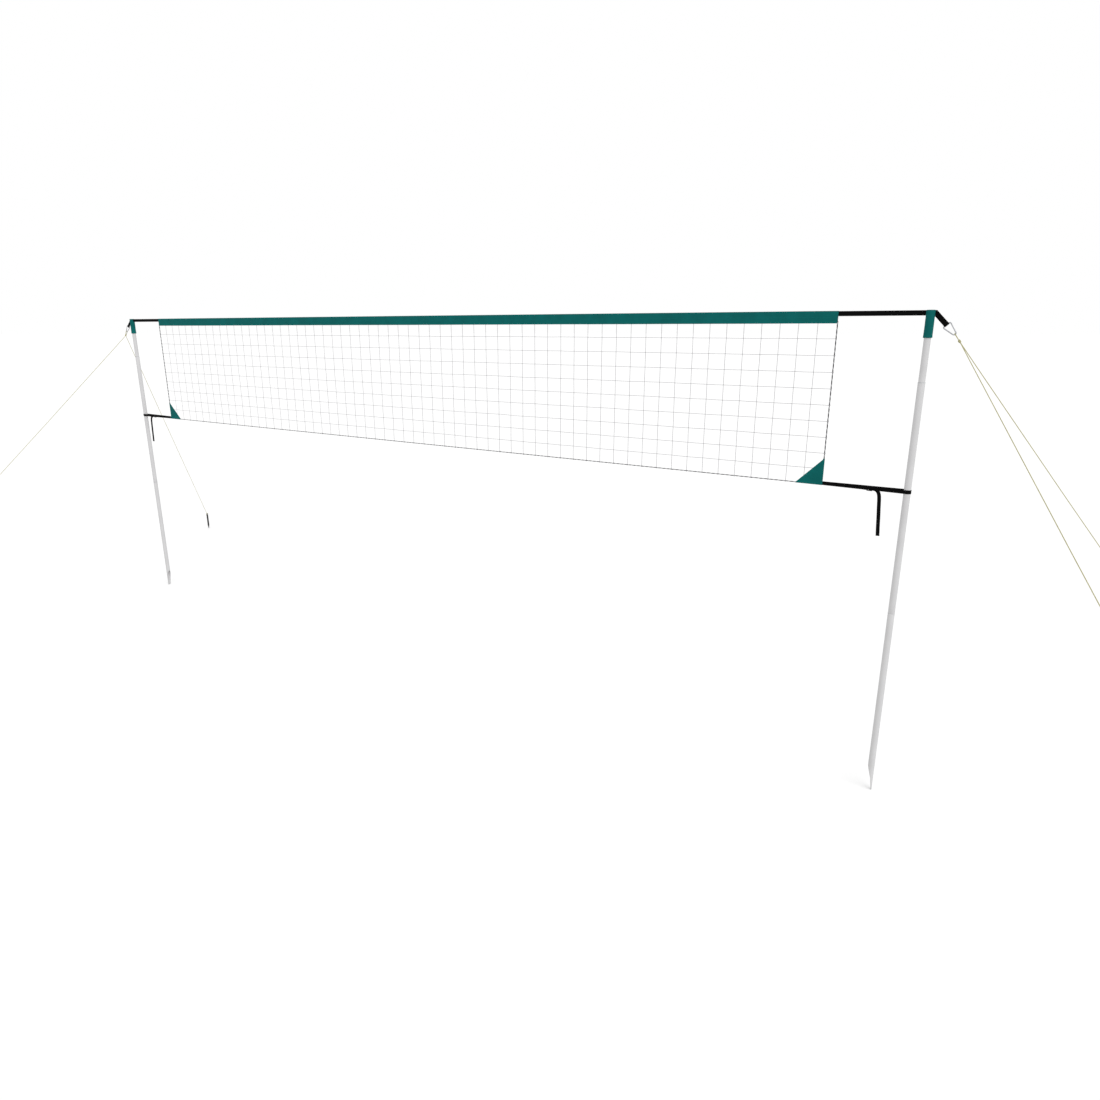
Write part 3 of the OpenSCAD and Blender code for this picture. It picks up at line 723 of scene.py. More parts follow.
def settings_of(context, group):
    """One group of the scene's settings."""
    return getattr(context.scene, "net_on_poles_" + group)


# ---------- shapes of the straps ----------


def front_frame():
    """The bottom strap's front layer: its start at the net's corner, its length to the pole, the
    radius of its wrap round the pole, and its angle. The layer touches the wrap's circle."""
    wrap = POLE_R + SOFT_GAP + STRAP_T / 2
    start = np.array([NET_X + SIDE_CORD_R + PATCH_WALL + 2 * SEW_GAP, -STRAP_T / 4])
    gap = math.hypot(POLE_X - start[0], start[1])
    angle = math.atan2(-start[1], POLE_X - start[0]) - math.asin(wrap / gap)
    return start, math.sqrt(gap**2 - wrap**2), wrap, angle


def low_strap_z():
    """The height of the bottom straps' middle."""
    return NET_LOW - BOTTOM_CORD_R + LOW_STRAP_W / 2


def upright_strap(route, thickness=STRAP_T):
    """A strap on edge: its outline is carried along a level route in the front layer's frame, up
    by its width and out by its thickness, with each corner's direction drawn out so that the
    strap keeps its thickness."""
    start, _, _, angle = front_frame()
    path = flat_path(start + turned(route, angle)) + Z * low_strap_z()
    before, after = steps_of(path)
    normal = unit(np.cross(Z, unit(before + after)))
    normal /= np.maximum(dot(normal, np.cross(Z, before)), 0.3)[:, None]
    return swept(path, Z, normal, edged(LOW_STRAP_W, thickness))


def bottom_strap_part():
    """Corner, back of the pole, round it, back along the front, round the middle bar, last bar."""
    _, front, wrap, angle = front_frame()
    back = turned([0, 1.5 * STRAP_T], -angle)
    gap = front - back[0], wrap - back[1]
    tangent = 180 + math.degrees(math.atan2(gap[1], gap[0]) - math.acos(wrap / math.hypot(*gap)))
    return upright_strap(np.vstack([
        back,
        arc((front, wrap), wrap, tangent, -90, 40),
        arc((BUCKLE_REACH - FOLD_SLACK, -TURN_R), TURN_R, 90, 270, 14),
        (BUCKLE_REACH + BAR_PITCH, -2 * TURN_R),
    ]))


def anchor_strap_part():
    """From the corner to the first bar, round it, and back to the corner, a little thinner than
    the other straps where its layers lie on each other."""
    bar_x = BUCKLE_REACH - BAR_PITCH
    parting = bar_x - 0.022
    fold = arc((bar_x + FOLD_SLACK, -TURN_R), TURN_R, 90, -90, 14)
    route = np.vstack([(0, 0), (parting, 0), fold, (parting, -STRAP_T), (0, -STRAP_T)])
    return upright_strap(route, STRAP_T - SEW_GAP / 2)


def strap_tail_part():
    """The loose end: a strap along a smooth curve, whose width turns from upright to level."""
    start, _, _, angle = front_frame()
    at = start + turned([BUCKLE_REACH + BAR_PITCH + SEW_GAP, -2 * TURN_R], angle)
    rows = smooth(np.array(TAIL_POINTS, float) * [0.001, 0.001, 0.001, 1], 6)
    path = np.array([at[0], at[1], low_strap_z()]) + rows[:, :3]
    along = unit(np.gradient(path, axis=0))
    share = np.clip(rows[:, 3:], 0, 1)
    wish = Z * (1 - share) + np.array([math.cos(TAIL_TWIST), math.sin(TAIL_TWIST), 0]) * share
    across = unit(wish - along * dot(wish, along)[:, None])
    return swept(path, across, np.cross(along, across), edged(LOW_STRAP_W, STRAP_T))


def elbow():
    """The middle of the top strap's bend, and the directions along and across its leg."""
    middle = NET_TOP - BAND_WALL - SEW_GAP - TOP_STRAP_W / 2
    x = POLE_X + SLEEVE_R + BEND_OUT - TOP_STRAP_W / 2 * math.tan(LEG_ANGLE / 2)
    c, s = math.cos(LEG_ANGLE), math.sin(LEG_ANGLE)
    return np.array([x, 0, middle]), np.array([c, 0, -s]), np.array([s, 0, c])


def mitre():
    """The direction across the top strap at its bend, drawn out so that the strap keeps its width."""
    return unit(elbow()[2] + Z) / math.cos(LEG_ANGLE / 2)


def top_strap_part():
    """One strap from leg to leg: at each bend the outline leans along the mitre and is drawn out,
    and it is a little thicker there, where the webbing creases."""
    bend, along, across = elbow()
    crease = 0.003
    out = np.array([LEG_REACH - TAPER_L, 0.02, crease, 0])[:, None] * along
    path = np.vstack([bend + out, bend - X * crease, bend - X * 0.05])
    wide = np.array([across, across, across, mitre(), Z, Z])
    thick = np.array([1, 1, 1.15, 1.45, 1.15, 1])[:, None] * Y
    path, wide, thick = (np.vstack([a * [-1, 1, 1], a[::-1]]) for a in (path, wide, thick))
    return swept(path, wide, thick, edged(TOP_STRAP_W, STRAP_T))


def strap_loop_parts():
    """A short strap over both faces of the leg and round the carabiner's bar, with its sewing: a
    box with a cross, each stitch a small arch of thread. It is made in the leg's frame: along
    it, across the net, and along the strap's width, from the bend."""
    eye, layer = WIRE_R + SOFT_GAP + STRAP_T / 2, STRAP_T + SEW_GAP
    low, high = LEG_REACH - TAPER_L - FOLD_L, LEG_REACH - TAPER_L
    half = np.array([(low, layer), (high, layer), (LEG_REACH - TAPER_L * 0.4, layer + (eye - layer) * 0.62)])
    route = np.vstack([half, arc((LEG_REACH, 0), eye, 80, -80, 14), half[::-1] * [1, -1]])
    path = flat_path(route)
    before, after = steps_of(path)
    parts = [swept(path, Z, np.cross(Z, unit(before + after)), edged(TOP_STRAP_W, STRAP_T))]
    x0, x1, w = low + 0.003, high - 0.003, TOP_STRAP_W / 2 - 0.0035
    corners = np.array([(x0, -w), (x1, -w), (x1, w), (x0, w), (x0, -w), (x1, w), (x0, w), (x1, -w)])
    for face in (-1, 1):
        parts.append(stitch_row(corners, face * (layer + STRAP_T / 2), face))
    bend, along, across = elbow()
    return [part.moved(1, [along, Y, across], bend) for part in parts]


def stitch_row(corners, height, face):
    """Stitches along a line of corners in the leg's frame: a thread that rises and falls as half a
    sine over each stitch, copied to every place."""
    pitch, r = 0.0028, 0.00035
    t = np.linspace(0, 1, 6)
    thread = np.column_stack([(t - 0.5) * pitch * 0.8, np.zeros(6), np.sin(math.pi * t) * r * 0.9])
    one = tube(thread, r, 6, hint=Y)
    places, bases = [], []
    for a, b in zip(corners[:-1], corners[1:]):
        n = max(int(np.linalg.norm(b - a) / pitch), 2)
        at = a + (b - a) * ((np.arange(n) + 0.5) / n)[:, None]
        places.append(np.column_stack([at[:, 0], np.full(n, height), at[:, 1]]))
        d = unit(b - a)
        along, out = np.array([d[0], 0, d[1]]), Y * face
        bases.append(np.broadcast_to(np.array([along, np.cross(out, along), out]), (n, 3, 3)))
    return copies(one, np.vstack(places), np.vstack(bases))


# ---------- operators ----------


class NETONPOLES_OT_poles(bpy.types.Operator):
    """Make the poles' tubes and finish their fittings"""

    bl_idname = "net_on_poles.poles"
    bl_label = "Poles"

    def execute(self, context):
        s = settings_of(context, "poles")
        paint = paint_finish(s)
        steel = metal_finish("drawn steel", tuple(s.steel), 0.3, (1, 1, 0.04))
        grey = plastic_finish("grey plastic", s.plastic, 0.42)
        black = plastic_finish("black plastic", tuple(s.core), 0.4)
        for side, sign in SIDES.items():
            for name, body in (
                ("foot", "ground_set"), ("middle", "ground_set"), ("inner", side + "_inner_post")
            ):
                node = f"{side}_{name}_tube"
                parts = [self.pole(node, name, s.sides, sign)]
                piece(f"{side}_{name}_pole", parts, body, node, paint, 50)
            for node, finish in (
                ("ferrule", steel), ("guide_ring", grey), ("post_cap", grey),
                ("lock_collar", grey), ("lock_core", black),
            ):
                dress(f"{side}_{node}", finish)
        return {"FINISHED"}

    def pole(self, node, name, sides, sign):
        """A tube whose outline goes up the outside, over the rim, down the inside and back under,
        with eased rims. A foot's lower end rises on the net's side along its slanted cut."""
        low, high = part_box(node)
        r, length, ease = high.y, high.z - low.z, 0.0003
        bore = r - (INNER_WALL if name == "inner" else OUTER_WALL)
        climb = np.concatenate([[ease / length], np.linspace(0.05, 0.95, 16), [1 - ease / length]])
        radius = np.concatenate([
            [r - ease], 0 * climb + r, [r - ease, bore + ease], 0 * climb + bore, [bore + ease]
        ])
        share = np.concatenate([[0], climb, [1, 1], climb[::-1], [0]])
        x = r * np.cos(angles(sides))
        cut = np.interp(x, [-r, 0.23 * r, r - 0.005], [FOOT_CUT_H, FOOT_CUT_H / 2, 0])
        foot = low.z + (cut if name == "foot" else 0 * x)
        height = foot + (high.z - foot) * share[:, None]
        return turned_about_pole(radius[:, None], height, r, joined=True).moved(sign)


class NETONPOLES_OT_net(bpy.types.Operator):
    """Knot the mesh and lay its border cords"""

    bl_idname = "net_on_poles.net"
    bl_label = "Net and border cords"

    def execute(self, context):
        s = settings_of(context, "net")
        cord = cord_finish("pale net cord", s.colour, 0.006, 2, fuzz=0.00015)
        border = cord_finish("flecked border cord", s.border, BORDER_LAY, 3, tuple(s.fleck), 0.62)
        piece("net_cords", self.mesh(s), "net_set", "net_mesh", cord)
        low, high, reach = NET_LOW - BOTTOM_CORD_R, BAND_LOW + CORD_GRIP, NET_X - SIDE_CORD_R
        for side, sign in SIDES.items():
            path = np.linspace((sign * NET_X, 0, low), (sign * NET_X, 0, high), 400)
            part = self.border_cord(path, SIDE_CORD_R, X)
            piece(side + "_border_cord", [part], "net_set", side + "_side_cord", border, 70)
        path = np.linspace((-reach, 0, NET_LOW), (reach, 0, NET_LOW), 1400)
        part = self.border_cord(path, BOTTOM_CORD_R, Z)
        piece("bottom_border_cord", [part], "net_set", "bottom_cord", border, 70)
        return {"FINISHED"}

    def border_cord(self, path, radius, hint):
        """A cord of three strands: its radius swells and shrinks three times round, and that
        pattern turns once in each lay."""
        sides = 15
        part = tube(path, radius, sides, hint)
        middle = np.repeat(path, sides, 0)
        turn = np.tile(np.arange(sides) / sides, len(path)) - np.repeat(lengths(path), sides) / BORDER_LAY
        swell = 0.9 + 0.1 * np.abs(np.sin(3 * math.pi * turn))
        part.verts = middle + (part.verts - middle) * swell[:, None]
        return part

    def mesh(self, s):
        """Knots stand on a grid, each a little off its place. Cords run between them and bow a
        little, and the outer cords end in rings round the border cords."""
        rng = np.random.default_rng(12)
        pitch_x, pitch_z = 2 * NET_X / s.columns, (BAND_LOW + MESH_GRIP - NET_LOW) / s.rows
        xs, zs = -NET_X + pitch_x * np.arange(s.columns + 1), NET_LOW + pitch_z * np.arange(s.rows + 1)
        knots = np.stack(np.meshgrid(xs, [0.0], zs, indexing="ij"), -1)[:, 0]
        shift = rng.normal(0, 1, knots.shape) * s.slack * [0.6, 0.5, 0.6]
        shift[[0, -1]] = shift[:, [0, -1]] = 0
        knots = knots + np.clip(shift, -2 * s.slack, 2 * s.slack)
        bow = rng.normal(0, 0.4 * s.slack, knots.shape)
        r = s.cord / 2
        sag = bow[:, 1:].transpose(1, 0, 2) * [0, 1, 1] - [0, 0, 0.4 * s.slack]
        level = self.strings(knots[:, 1:].transpose(1, 0, 2), sag, r, Z)
        upright = self.strings(knots[1:-1], bow[1:-1] * [1, 1, 0], r, X)
        inner = knots[1:-1, 1:-1].reshape(-1, 3)
        tied = self.knots(inner, rng.uniform(-0.4, 0.4, len(inner)), r)
        return [*level, *upright, tied, *self.end_rings(xs, zs, r)]

    def strings(self, knots, bow, r, hint):
        """Cords through rows of knots, with three points in each gap that bow as a parabola."""
        t = np.array([0, 0.12, 0.5, 0.88])[None, None, :, None]
        a, b, lean = knots[:, :-1, None], knots[:, 1:, None], bow[:, :-1, None]
        points = (a * (1 - t) + b * t + lean * 4 * t * (1 - t)).reshape(len(knots), -1, 3)
        points = np.concatenate([points, knots[:, -1:]], 1)
        return [tube(path, r, 6, hint) for path in points]

    def knots(self, places, tilt, r):
        """Small balls, each with a bulge that winds round it as a cosine of both its angles, and
        turned about Y by its tilt."""
        rows, sides = 6, 8
        a, b = np.meshgrid(np.linspace(0.35, math.pi - 0.35, rows), angles(sides), indexing="ij")
        size = r * (1.75 + 0.22 * np.cos(2 * b + 2 * a))
        ball = size[..., None] * np.stack(
            [np.sin(a) * np.cos(b) * 1.1, np.cos(a) * 0.95, np.sin(a) * np.sin(b)], -1
        )
        knot = Part(ball, table(np.arange(sides + 1) / sides, np.arange(rows) * r))
        c, s = np.cos(tilt)[:, None], np.sin(tilt)[:, None]
        bases = np.stack([c * X + s * Z, np.broadcast_to(Y, (len(tilt), 3)), c * Z - s * X], 1)
        return copies(knot, places, bases)

    def end_rings(self, xs, zs, r):
        """Rings round the border cords, a pair at each cord that ends there outside the patches."""
        pair = (-0.8 * r, 0.9 * r)
        levels = [z + k for z in zs[:-1] if z > NET_LOW + PATCH_LEG for k in pair]
        sides = [(x, 0, z) for x in (-NET_X, NET_X) for z in levels]
        below = [(x + k, 0, NET_LOW) for x in xs if abs(x) < NET_X - PATCH_LEG for k in pair]
        return [
            copies(ring((0, 0, 0), cord_r + 0.8 * r, r, axis, 16, 6), places, np.eye(3))
            for cord_r, axis, places in ((SIDE_CORD_R, Z, sides), (BOTTOM_CORD_R, X, below))
        ]


class NETONPOLES_OT_band(bpy.types.Operator):
    """Fold the green band over the net's top"""

    bl_idname = "net_on_poles.band"
    bl_label = "Top band"

    def execute(self, context):
        def seams(across, along):
            """Three rows along the band, at their heights above its lower edge."""
            return [stitched(across - at, along) for at in (0.005, 0.0085, 0.0305)]

        green = tape_finish("green band tape", settings_of(context, "fabric"), seams)
        piece("green_top_band", [self.band()], "net_set", "top_band", green)
        return {"FINISHED"}

    def band(self):
        """An upturned U of cloth: up the front, over the top in a half circle, down the back. Its
        lower edges draw in to the net, and drift a little along it as a sum of three sines."""
        top, height = BAND_HALF - BAND_WALL / 2, NET_TOP - BAND_WALL / 2 - BAND_LOW
        rise = np.array([0, 0.002, 0.005, 0.0085, 0.013, 0.02, 0.028, 0.034, 0.045])
        half = np.interp(rise, [0, 0.005, 0.0085, 0.022, 0.032], [0.00172, 0.00165, 0.00168, 0.0019, top])
        front = np.column_stack([-half, rise])
        over = arc((0, height - top), top, 180, 0, 8)
        middle = np.vstack([front, over, front[::-1] * [-1, 1]])
        normal = turned(unit(np.gradient(middle, axis=0)), math.pi / 2) * BAND_WALL / 2
        outline = np.vstack([middle + normal, (middle - normal)[::-1]])
        low = np.concatenate([rise, over[:, 1], rise[::-1]])
        across = np.concatenate([low, low[::-1], low[:1]])
        x = np.linspace(-NET_X, NET_X, 481)
        drift = np.sin(x * 3.1 + 0.4) * 0.5 + np.sin(x * 7.7 + 1.9) * 0.3 + np.sin(x * 17.3) * 0.2
        loose = np.clip(1 - outline[:, 1] / height, 0, 1) ** 1.5
        sway, lift = 0.0007, 0.0003
        points = np.stack([
            np.repeat(x[:, None], len(outline), 1),
            outline[:, 0] + drift[:, None] * loose * sway,
            BAND_LOW + np.maximum(outline[:, 1], 0) + np.roll(drift, 40)[:, None] * loose * lift,
        ], -1)
        return Part(points, table(across, x))


class NETONPOLES_OT_sleeves(bpy.types.Operator):
    """Sew the pole sleeves and the corner patches"""

    bl_idname = "net_on_poles.sleeves"
    bl_label = "Sleeves and corner patches"

    def execute(self, context):
        s = settings_of(context, "fabric")

        def hems(across, along):
            """Two rows round the sleeve's lower hem and two near its top."""
            rows = (0.006, 0.0105, SLEEVE_H - 0.0285, SLEEVE_H - 0.0055)
            return [stitched(along - at, across) for at in rows]

        def edges(across, along):
            """Two rows along the patch's slanted edge and one along each other edge."""
            slant, run = (PATCH_LEG - across - along) * math.sqrt(0.5), across * math.sqrt(2)
            return [stitched(slant - 0.005, run), stitched(slant - 0.009, run),
                    stitched(across - 0.0075, along), stitched(along - 0.007, across)]

        sleeve = tape_finish("green sleeve tape", s, hems)
        patch = tape_finish("green patch tape", s, edges)
        for side, sign in SIDES.items():
            made = piece(side + "_green_sleeve", [self.sleeve().moved(sign)], "net_set",
                         side + "_pole_sleeve", sleeve)
            self.slit(made, sign)
            piece(side + "_green_patch", [self.patch().moved(sign)], "net_set",
                  side + "_corner_patch", patch)
        return {"FINISHED"}

    def sleeve(self):
        """A pocket turned about the pole: from the middle of its lid down the inside, round a rolled
        hem, up the outside and in over the top. Its outside swells and shrinks a little as sines
        of the angle and height, with one sewn seam up its back, which is a narrow bell."""
        h, r, bore = SLEEVE_H, SLEEVE_R, SLEEVE_R - SLEEVE_WALL
        lid = h - BAND_WALL
        inside = [(0.0002, lid), (bore - 0.004, lid), (bore - 0.001, lid - 0.001),
                  (bore, h - 0.005), (bore, 0.0012), (bore + 0.0005, 0)]
        hem = [(r - 0.0012, 0), (r - 0.0003, 0.0004), (r, 0.002), (r, 0.006), (r - 0.0004, 0.012)]
        wall = [(r - 0.0005, z) for z in np.linspace(0.018, h - 0.008, 22)]
        shoulder = [(r - 0.0004, h - 0.004), (r - 0.0008, h - 0.002),
                    (r - 0.0022, h - 0.0004), (r - 0.005, h)]
        top = [(x, h) for x in np.linspace(r - 0.009, 0.0002, 4)]
        rows = np.array(inside + hem + wall + shoulder + top)
        first, count = len(inside) + 3, len(wall) + 2
        full = np.zeros((len(rows), 1))
        full[first : first + count, 0] = np.sin(np.linspace(0, math.pi, count))
        a = angles(96)
        ripple = np.sin(3 * a + 0.7) + np.sin(5 * a + rows[:, 1:] * 40)
        seam = np.exp(-(((a + math.pi / 2) % TURN - math.pi) / 0.07) ** 2)
        swell, stand, inset = 0.00017, 0.0004, 0.00035
        radius = rows[:, :1] + full * (swell * ripple + stand * seam - inset)
        part = turned_about_pole(radius, SLEEVE_LOW + rows[:, 1:], r, joined=False)
        part.uvs[..., 1] -= lengths(np.array(inside))[-1] + 0.0007
        return part

    def slit(self, made, sign):
        """Cuts the sleeve where the top strap passes, with a strap that is a little larger."""
        bend, along, across = elbow()
        cut = swept(
            np.array([bend + along * 0.03, bend, bend - X * 0.08]), np.array([across, mitre(), Z]), Y,
            SQUARE * [TOP_STRAP_W / 2 + SEW_GAP, STRAP_T / 2 + SOFT_GAP],
        ).moved(sign)
        mesh = bpy.data.meshes.new("slit")
        mesh.from_pydata(cut.verts.tolist(), [], cut.faces())
        knife = linked("slit", mesh)
        modifier = made.modifiers.new("slit", "BOOLEAN")
        modifier.operation, modifier.object, modifier.solver = "DIFFERENCE", knife, "EXACT"
        shown = made.evaluated_get(bpy.context.evaluated_depsgraph_get())
        result = bpy.data.meshes.new_from_object(shown)
        made.modifiers.clear()
        made.data = result
        bpy.data.objects.remove(knife)

    def patch(self):
        """Two triangles of cloth over the net's corner. At each height a loop runs along the front,
        round the side cord and back behind; its half thickness is a thin sheet's, plus a ridge over
        each cord that falls off as a bell, and it closes round both cords as an ellipse does. At the
        slanted edge the two layers part by a groove."""
        cover = PATCH_WALL + SEW_GAP
        big, small, sheet, straight = SIDE_CORD_R + cover, BOTTOM_CORD_R + cover, 0.0024, 0.008
        bell = np.sin(np.radians([84, 70, 55, 38, 20]))
        z = np.concatenate([
            -small * bell, [0], np.linspace(0.002, 0.02, 7),
            np.linspace(0.03, PATCH_LEG - big, 12), [PATCH_LEG],
        ])[:, None]
        width = np.maximum(PATCH_LEG - np.maximum(z, 0), big)
        near, count = np.array([0, 0.0015, 0.003, 0.0045, 0.006, straight]), np.arange(17)
        beyond = straight + (width - straight) * np.arange(1, 12) / 11
        fixed = np.broadcast_to(near, (len(z), len(near)))
        reach = np.minimum(np.hstack([fixed, beyond]), width * count / 16)
        shrink = np.sqrt(1 - (np.minimum(z, 0) / small) ** 2)
        x = np.hstack([big * bell * shrink, -reach])
        z = np.broadcast_to(z, x.shape)

        def ridge(distance, r):
            """How far the sheet stands up over a cord, by its distance from the cord."""
            return (r - sheet) * np.exp(-((np.minimum(distance, 0) / (r * 0.9)) ** 2))

        half = sheet + np.maximum(ridge(x, big), ridge(-z, small))
        half = half * np.sqrt(1 - (np.maximum(x, 0) / big) ** 2 - (np.minimum(z, 0) / small) ** 2)
        front, back = np.stack([x, -half, z], -1), np.stack([x, half, z], -1)[:, ::-1]
        layer, depth = 0.0011, 0.0025
        lip = np.maximum(half[:, -1:] - layer, half[:, -1:] * 0.3)
        edge, deep = x[:, -1:], x[:, -1:] + np.minimum(depth, width * 0.3)
        groove = np.stack([
            np.hstack([edge, deep, deep, edge]), np.hstack([-lip, -lip, lip, lip]), z[:, :4]
        ], -1)
        loop = np.concatenate([front, groove, back], 1)
        uv = np.stack([-loop[..., 0], loop[..., 2]], -1)
        return Part(loop + [NET_X, 0, NET_LOW], np.concatenate([uv, uv[:, :1]], 1))


class NETONPOLES_OT_straps(bpy.types.Operator):
    """Thread the black webbing"""

    bl_idname = "net_on_poles.straps"
    bl_label = "Straps"

    def execute(self, context):
        webbing = webbing_finish(settings_of(context, "fabric"))
        piece("top_webbing", [top_strap_part()], "net_set", "top_strap", webbing)
        for side, sign in SIDES.items():
            for name, parts in (
                ("bottom_strap", [bottom_strap_part()]), ("anchor_strap", [anchor_strap_part()]),
                ("strap_tail", [strap_tail_part()]), ("strap_loop", strap_loop_parts()),
            ):
                parts = [part.moved(sign) for part in parts]
                node = f"{side}_{name}"
                piece(node + "_webbing", parts, "net_set", node, webbing)
        return {"FINISHED"}


class NETONPOLES_OT_fittings(bpy.types.Operator):
    """Finish the carabiners, buckles and pegs"""

    bl_idname = "net_on_poles.fittings"
    bl_label = "Carabiners, buckles and pegs"

    def execute(self, context):
        s = settings_of(context, "rigging")
        zinc = metal_finish("zinc plated steel", s.steel, 0.24, (1, 1, 1))
        black = plastic_finish("buckle plastic", s.buckle, 0.36, 0.12)
        peg = plastic_finish("peg plastic", s.peg, 0.42)
        for side in SIDES:
            for node in ("carabiner", "carabiner_gate", "gate_pin"):
                dress(f"{side}_{node}", zinc)
            dress(side + "_ladder_buckle", black)
            for depth in DEPTHS:
                dress(f"{side}_{depth}_peg", peg)
        return {"FINISHED"}


class NETONPOLES_OT_ropes(bpy.types.Operator):
    """Tie the guy ropes"""

    bl_idname = "net_on_poles.ropes"
    bl_label = "Guy ropes and knots"

    def execute(self, context):
        s = settings_of(context, "rigging")
        rope = cord_finish("straw coloured guy rope", s.rope, s.lay, 4, fuzz=0.00025)
        route = smooth(np.array(ROPE_POINTS) + [POLE_X, 0, 0], 6)
        for side, sign in SIDES.items():
            parts = [part.moved(sign) for part in self.guy_knot(route)]
            piece(side + "_guy_bight", parts, "net_set", side + "_guy_knot", rope)
            for depth, way in DEPTHS.items():
                path = route * [sign, way, 1]
                name = f"{side}_{depth}"
                made = piece(name + "_guy_rope", [tube(path, ROPE_R, 12)], "ground_set",
                             name + "_rope", rope)
                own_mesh(made)
                parts = [part.moved(sign, np.diag([1, way, 1])) for part in self.peg_knot(route)]
                piece(name + "_peg_hitch", parts, "ground_set", name + "_peg_knot", rope)
        return {"FINISHED"}

    def guy_knot(self, route):
        """The bight round the carabiner's narrow end, drawn together by a wrap of rope whose
        centre line is a helix on an egg, and the two ends that leave it."""
        bend, along, _ = elbow()
        tip = bend + along * (LEG_REACH + HOOK_L)
        lead = route[0] * [1, 0, 1] - tip
        reach, axis = np.linalg.norm(lead), unit(lead)
        basis = np.array([axis, Y, np.cross(axis, Y)])
        knot, close = reach - KNOT_BACK, math.radians(BIGHT_CLOSE)
        bight = arc((BIGHT_SHIFT, 0), BIGHT_R, 90 - BIGHT_CLOSE, 270 + BIGHT_CLOSE, 20)
        leg = np.linspace(0, 1, 8)[1:, None] * (knot - 0.001) * [math.cos(close), -math.sin(close)]
        flat = np.vstack([(bight[0] + leg)[::-1], bight, bight[-1] + leg * [1, -1]])
        turns, size, begin, run = 3.6, 0.0045, knot - 0.0045, 0.0145
        t = np.linspace(0, 1, 90)
        turn = TURN * turns * t + 0.5
        egg = size * np.sqrt(np.clip(1 - ((t - 0.45) / 1.15) ** 2, 0.1, 1)) * eased(t, 0.35)
        helix = np.column_stack([begin + run * t, egg * np.cos(turn), egg * np.sin(turn)])
        parts = [tube(flat_path(flat), ROPE_R * 0.97, 12), tube(helix, ROPE_R, 10, hint=X)]
        parts = [part.moved(1, basis, tip) for part in parts]
        for way in DEPTHS.values():
            start, ahead = route[0] * [1, way, 1], unit(route[1] - route[0]) * [1, way, 1]
            line = [tip + axis * (knot + 0.004) + Y * way * 0.0006,
                    tip + axis * (knot + 0.0085) + Y * way * 0.0016, start - ahead * 0.003, start]
            parts.append(tube(smooth(line, 8), ROPE_R, 12))
        return parts

    def peg_knot(self, route):
        """A ring of rope through the peg's eye and over its head, closed by a short wrap round the
        rope's end, whose centre line is a helix."""
        end, way = route[-1], unit(route[-1] - route[-2])
        flat = unit(way * [1, 1, 0])
        side = np.cross(Z, flat)
        up = np.cross(side, way)
        turns, size, begin, run = 2.6, 0.0029, 0.0012, 0.0066
        t = np.linspace(0, 1, 60)
        turn = TURN * turns * t
        around = side * np.cos(turn)[:, None] + up * np.sin(turn)[:, None]
        wrap = end + way * (begin + run * t)[:, None] + around * size * eased(t, 0.4)[:, None]
        return [
            ring(end + flat * PEG_BLADE_X - Z * PEG_RING_DROP, PEG_RING_R, ROPE_R, side, 32, 12),
            tube(wrap, 0.0015, 10, hint=way),
            tube(np.array([end, end + way * 0.004, end + way * 0.0075]), ROPE_R * 0.95, 12),
        ]


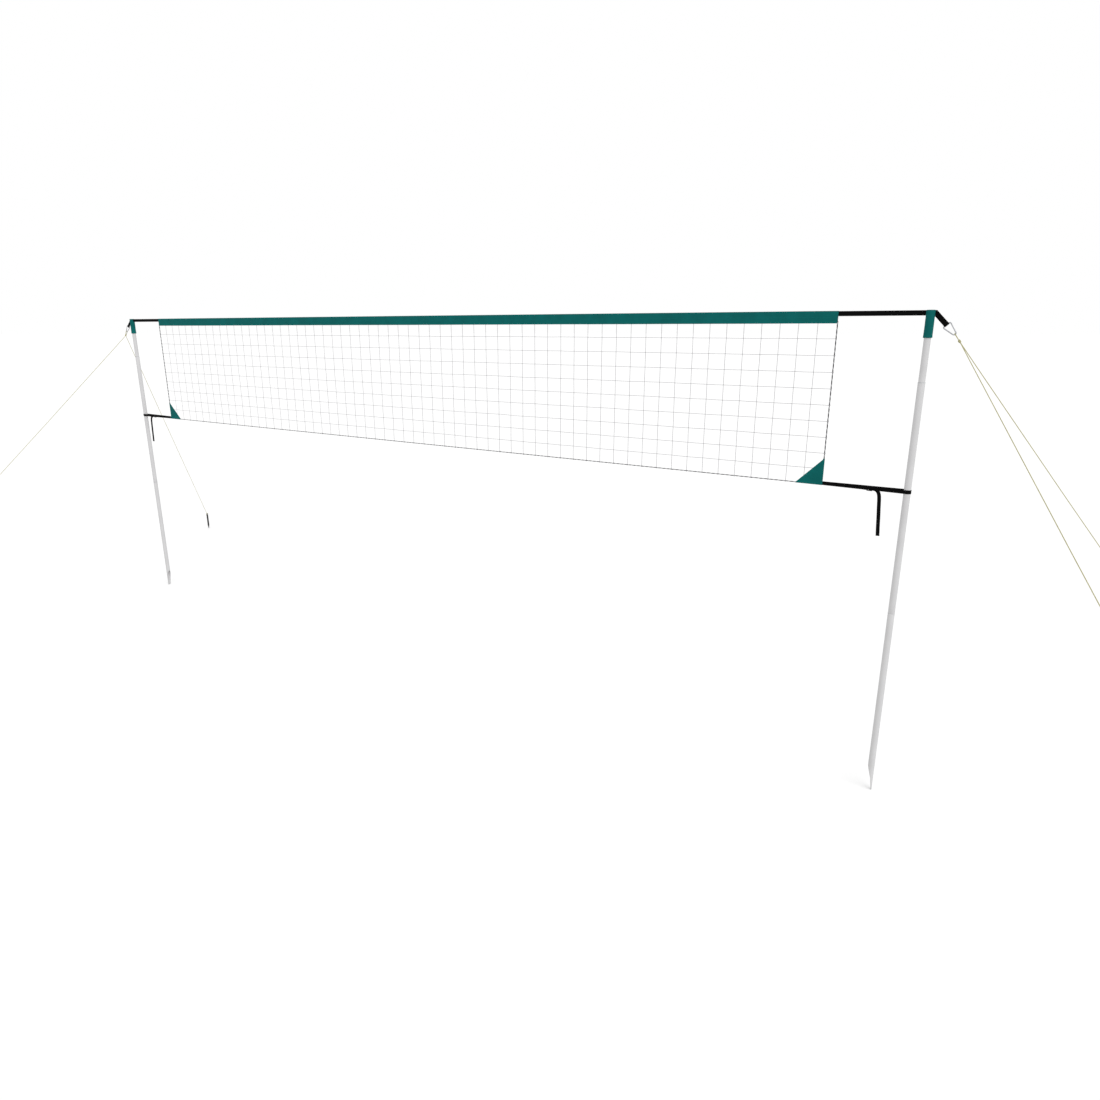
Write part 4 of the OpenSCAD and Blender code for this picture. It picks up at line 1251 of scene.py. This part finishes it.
class NETONPOLES_OT_stage(bpy.types.Operator):
    """Set the floor, the light and the camera"""

    bl_idname = "net_on_poles.stage"
    bl_label = "Stage"

    def execute(self, context):
        s = settings_of(context, "stage")
        scene = context.scene
        scene.view_settings.view_transform = "Standard"
        self.floor(s)
        self.sky(scene, s)
        lamp = bpy.data.lights.new("soft lamp", "SUN")
        lamp.energy, lamp.angle = s.lamp, math.radians(60)
        linked("soft lamp", lamp).rotation_euler = LAMP_TURN
        camera = bpy.data.cameras.new("camera")
        camera.lens, camera.sensor_width, camera.clip_start, camera.clip_end = s.lens, 36, 0.05, 1000
        scene.camera = linked("camera", camera)
        scene.camera.location, scene.camera.rotation_euler = CAMERA_AT, CAMERA_TURN
        return {"FINISHED"}

    def seen(self, shader):
        """1 for rays that the camera, a reflection or a glass sends."""
        rays = ("Is Camera Ray", "Is Glossy Ray", "Is Transmission Ray")
        return any_of([shader.node("ShaderNodeLightPath", out=name) for name in rays])

    def floor(self, s):
        """A wide pale floor, lifted to white for rays that see it, so that only shadows show."""
        mesh = bpy.data.meshes.new("floor")
        corners = [(x * FLOOR_HALF, y * FLOOR_HALF, -FLOOR_DROP) for x, y in SQUARE.tolist()]
        mesh.from_pydata(corners, [], [(0, 1, 2, 3)])
        material = bpy.data.materials.new("pale floor")
        material.use_nodes = True
        shader = Shader(material.node_tree)
        matte = shader.node("ShaderNodeBsdfDiffuse", None, {"Color": s.floor})
        lift = shader.node("ShaderNodeEmission", None, {"Strength": FLOOR_GLOW})
        both = shader.node("ShaderNodeAddShader", None, {0: matte, 1: lift})
        both = shader.node("ShaderNodeMixShader", None, {0: self.seen(shader), 1: matte, 2: both})
        shader.node("ShaderNodeOutputMaterial", None, {0: both})
        mesh.materials.append(material)
        linked("floor", mesh)

    def sky(self, scene, s):
        """Even light from everywhere, which rays that see it find white."""
        world = bpy.data.worlds.new("even light")
        world.use_nodes = True
        scene.world = world
        shader = Shader(world.node_tree)
        even = shader.node("ShaderNodeBackground", None, {"Color": WHITE, "Strength": s.sky})
        white = shader.node("ShaderNodeBackground", None, {"Color": WHITE, "Strength": 1.0})
        both = shader.node("ShaderNodeMixShader", None, {0: self.seen(shader), 1: even, 2: white})
        shader.node("ShaderNodeOutputWorld", None, {0: both})


class NETONPOLES_PT_panel(bpy.types.Panel):
    """Lists the steps and their settings"""

    bl_label = "Volleyball Net"
    bl_idname = "NETONPOLES_PT_panel"
    bl_space_type = "VIEW_3D"
    bl_region_type = "UI"
    bl_category = "Volleyball Net"

    def draw(self, context):
        for operator, group in STEPS:
            box = self.layout.box()
            box.operator(operator.bl_idname)
            settings = settings_of(context, group)
            for key in settings.__annotations__:
                box.prop(settings, key)


GROUPS = {
    "poles": PoleSettings,
    "net": NetSettings,
    "fabric": FabricSettings,
    "rigging": RiggingSettings,
    "stage": StageSettings,
}
STEPS = [
    (NETONPOLES_OT_poles, "poles"),
    (NETONPOLES_OT_net, "net"),
    (NETONPOLES_OT_band, "fabric"),
    (NETONPOLES_OT_sleeves, "fabric"),
    (NETONPOLES_OT_straps, "fabric"),
    (NETONPOLES_OT_fittings, "rigging"),
    (NETONPOLES_OT_ropes, "rigging"),
    (NETONPOLES_OT_stage, "stage"),
]


def register():
    """Registers the settings, the steps and the panel."""
    for name, group in GROUPS.items():
        bpy.utils.register_class(group)
        setattr(bpy.types.Scene, "net_on_poles_" + name, bpy.props.PointerProperty(type=group))
    for operator, _ in STEPS:
        bpy.utils.register_class(operator)
    bpy.utils.register_class(NETONPOLES_PT_panel)


def unregister():
    """Takes them out again, in the opposite order."""
    bpy.utils.unregister_class(NETONPOLES_PT_panel)
    for operator, _ in reversed(STEPS):
        bpy.utils.unregister_class(operator)
    for name, group in GROUPS.items():
        delattr(bpy.types.Scene, "net_on_poles_" + name)
        bpy.utils.unregister_class(group)


def main():
    """Runs every step in order."""
    register()
    for operator, _ in STEPS:
        family, name = operator.bl_idname.split(".")
        getattr(getattr(bpy.ops, family), name)()


if __name__ == "__main__":
    main()
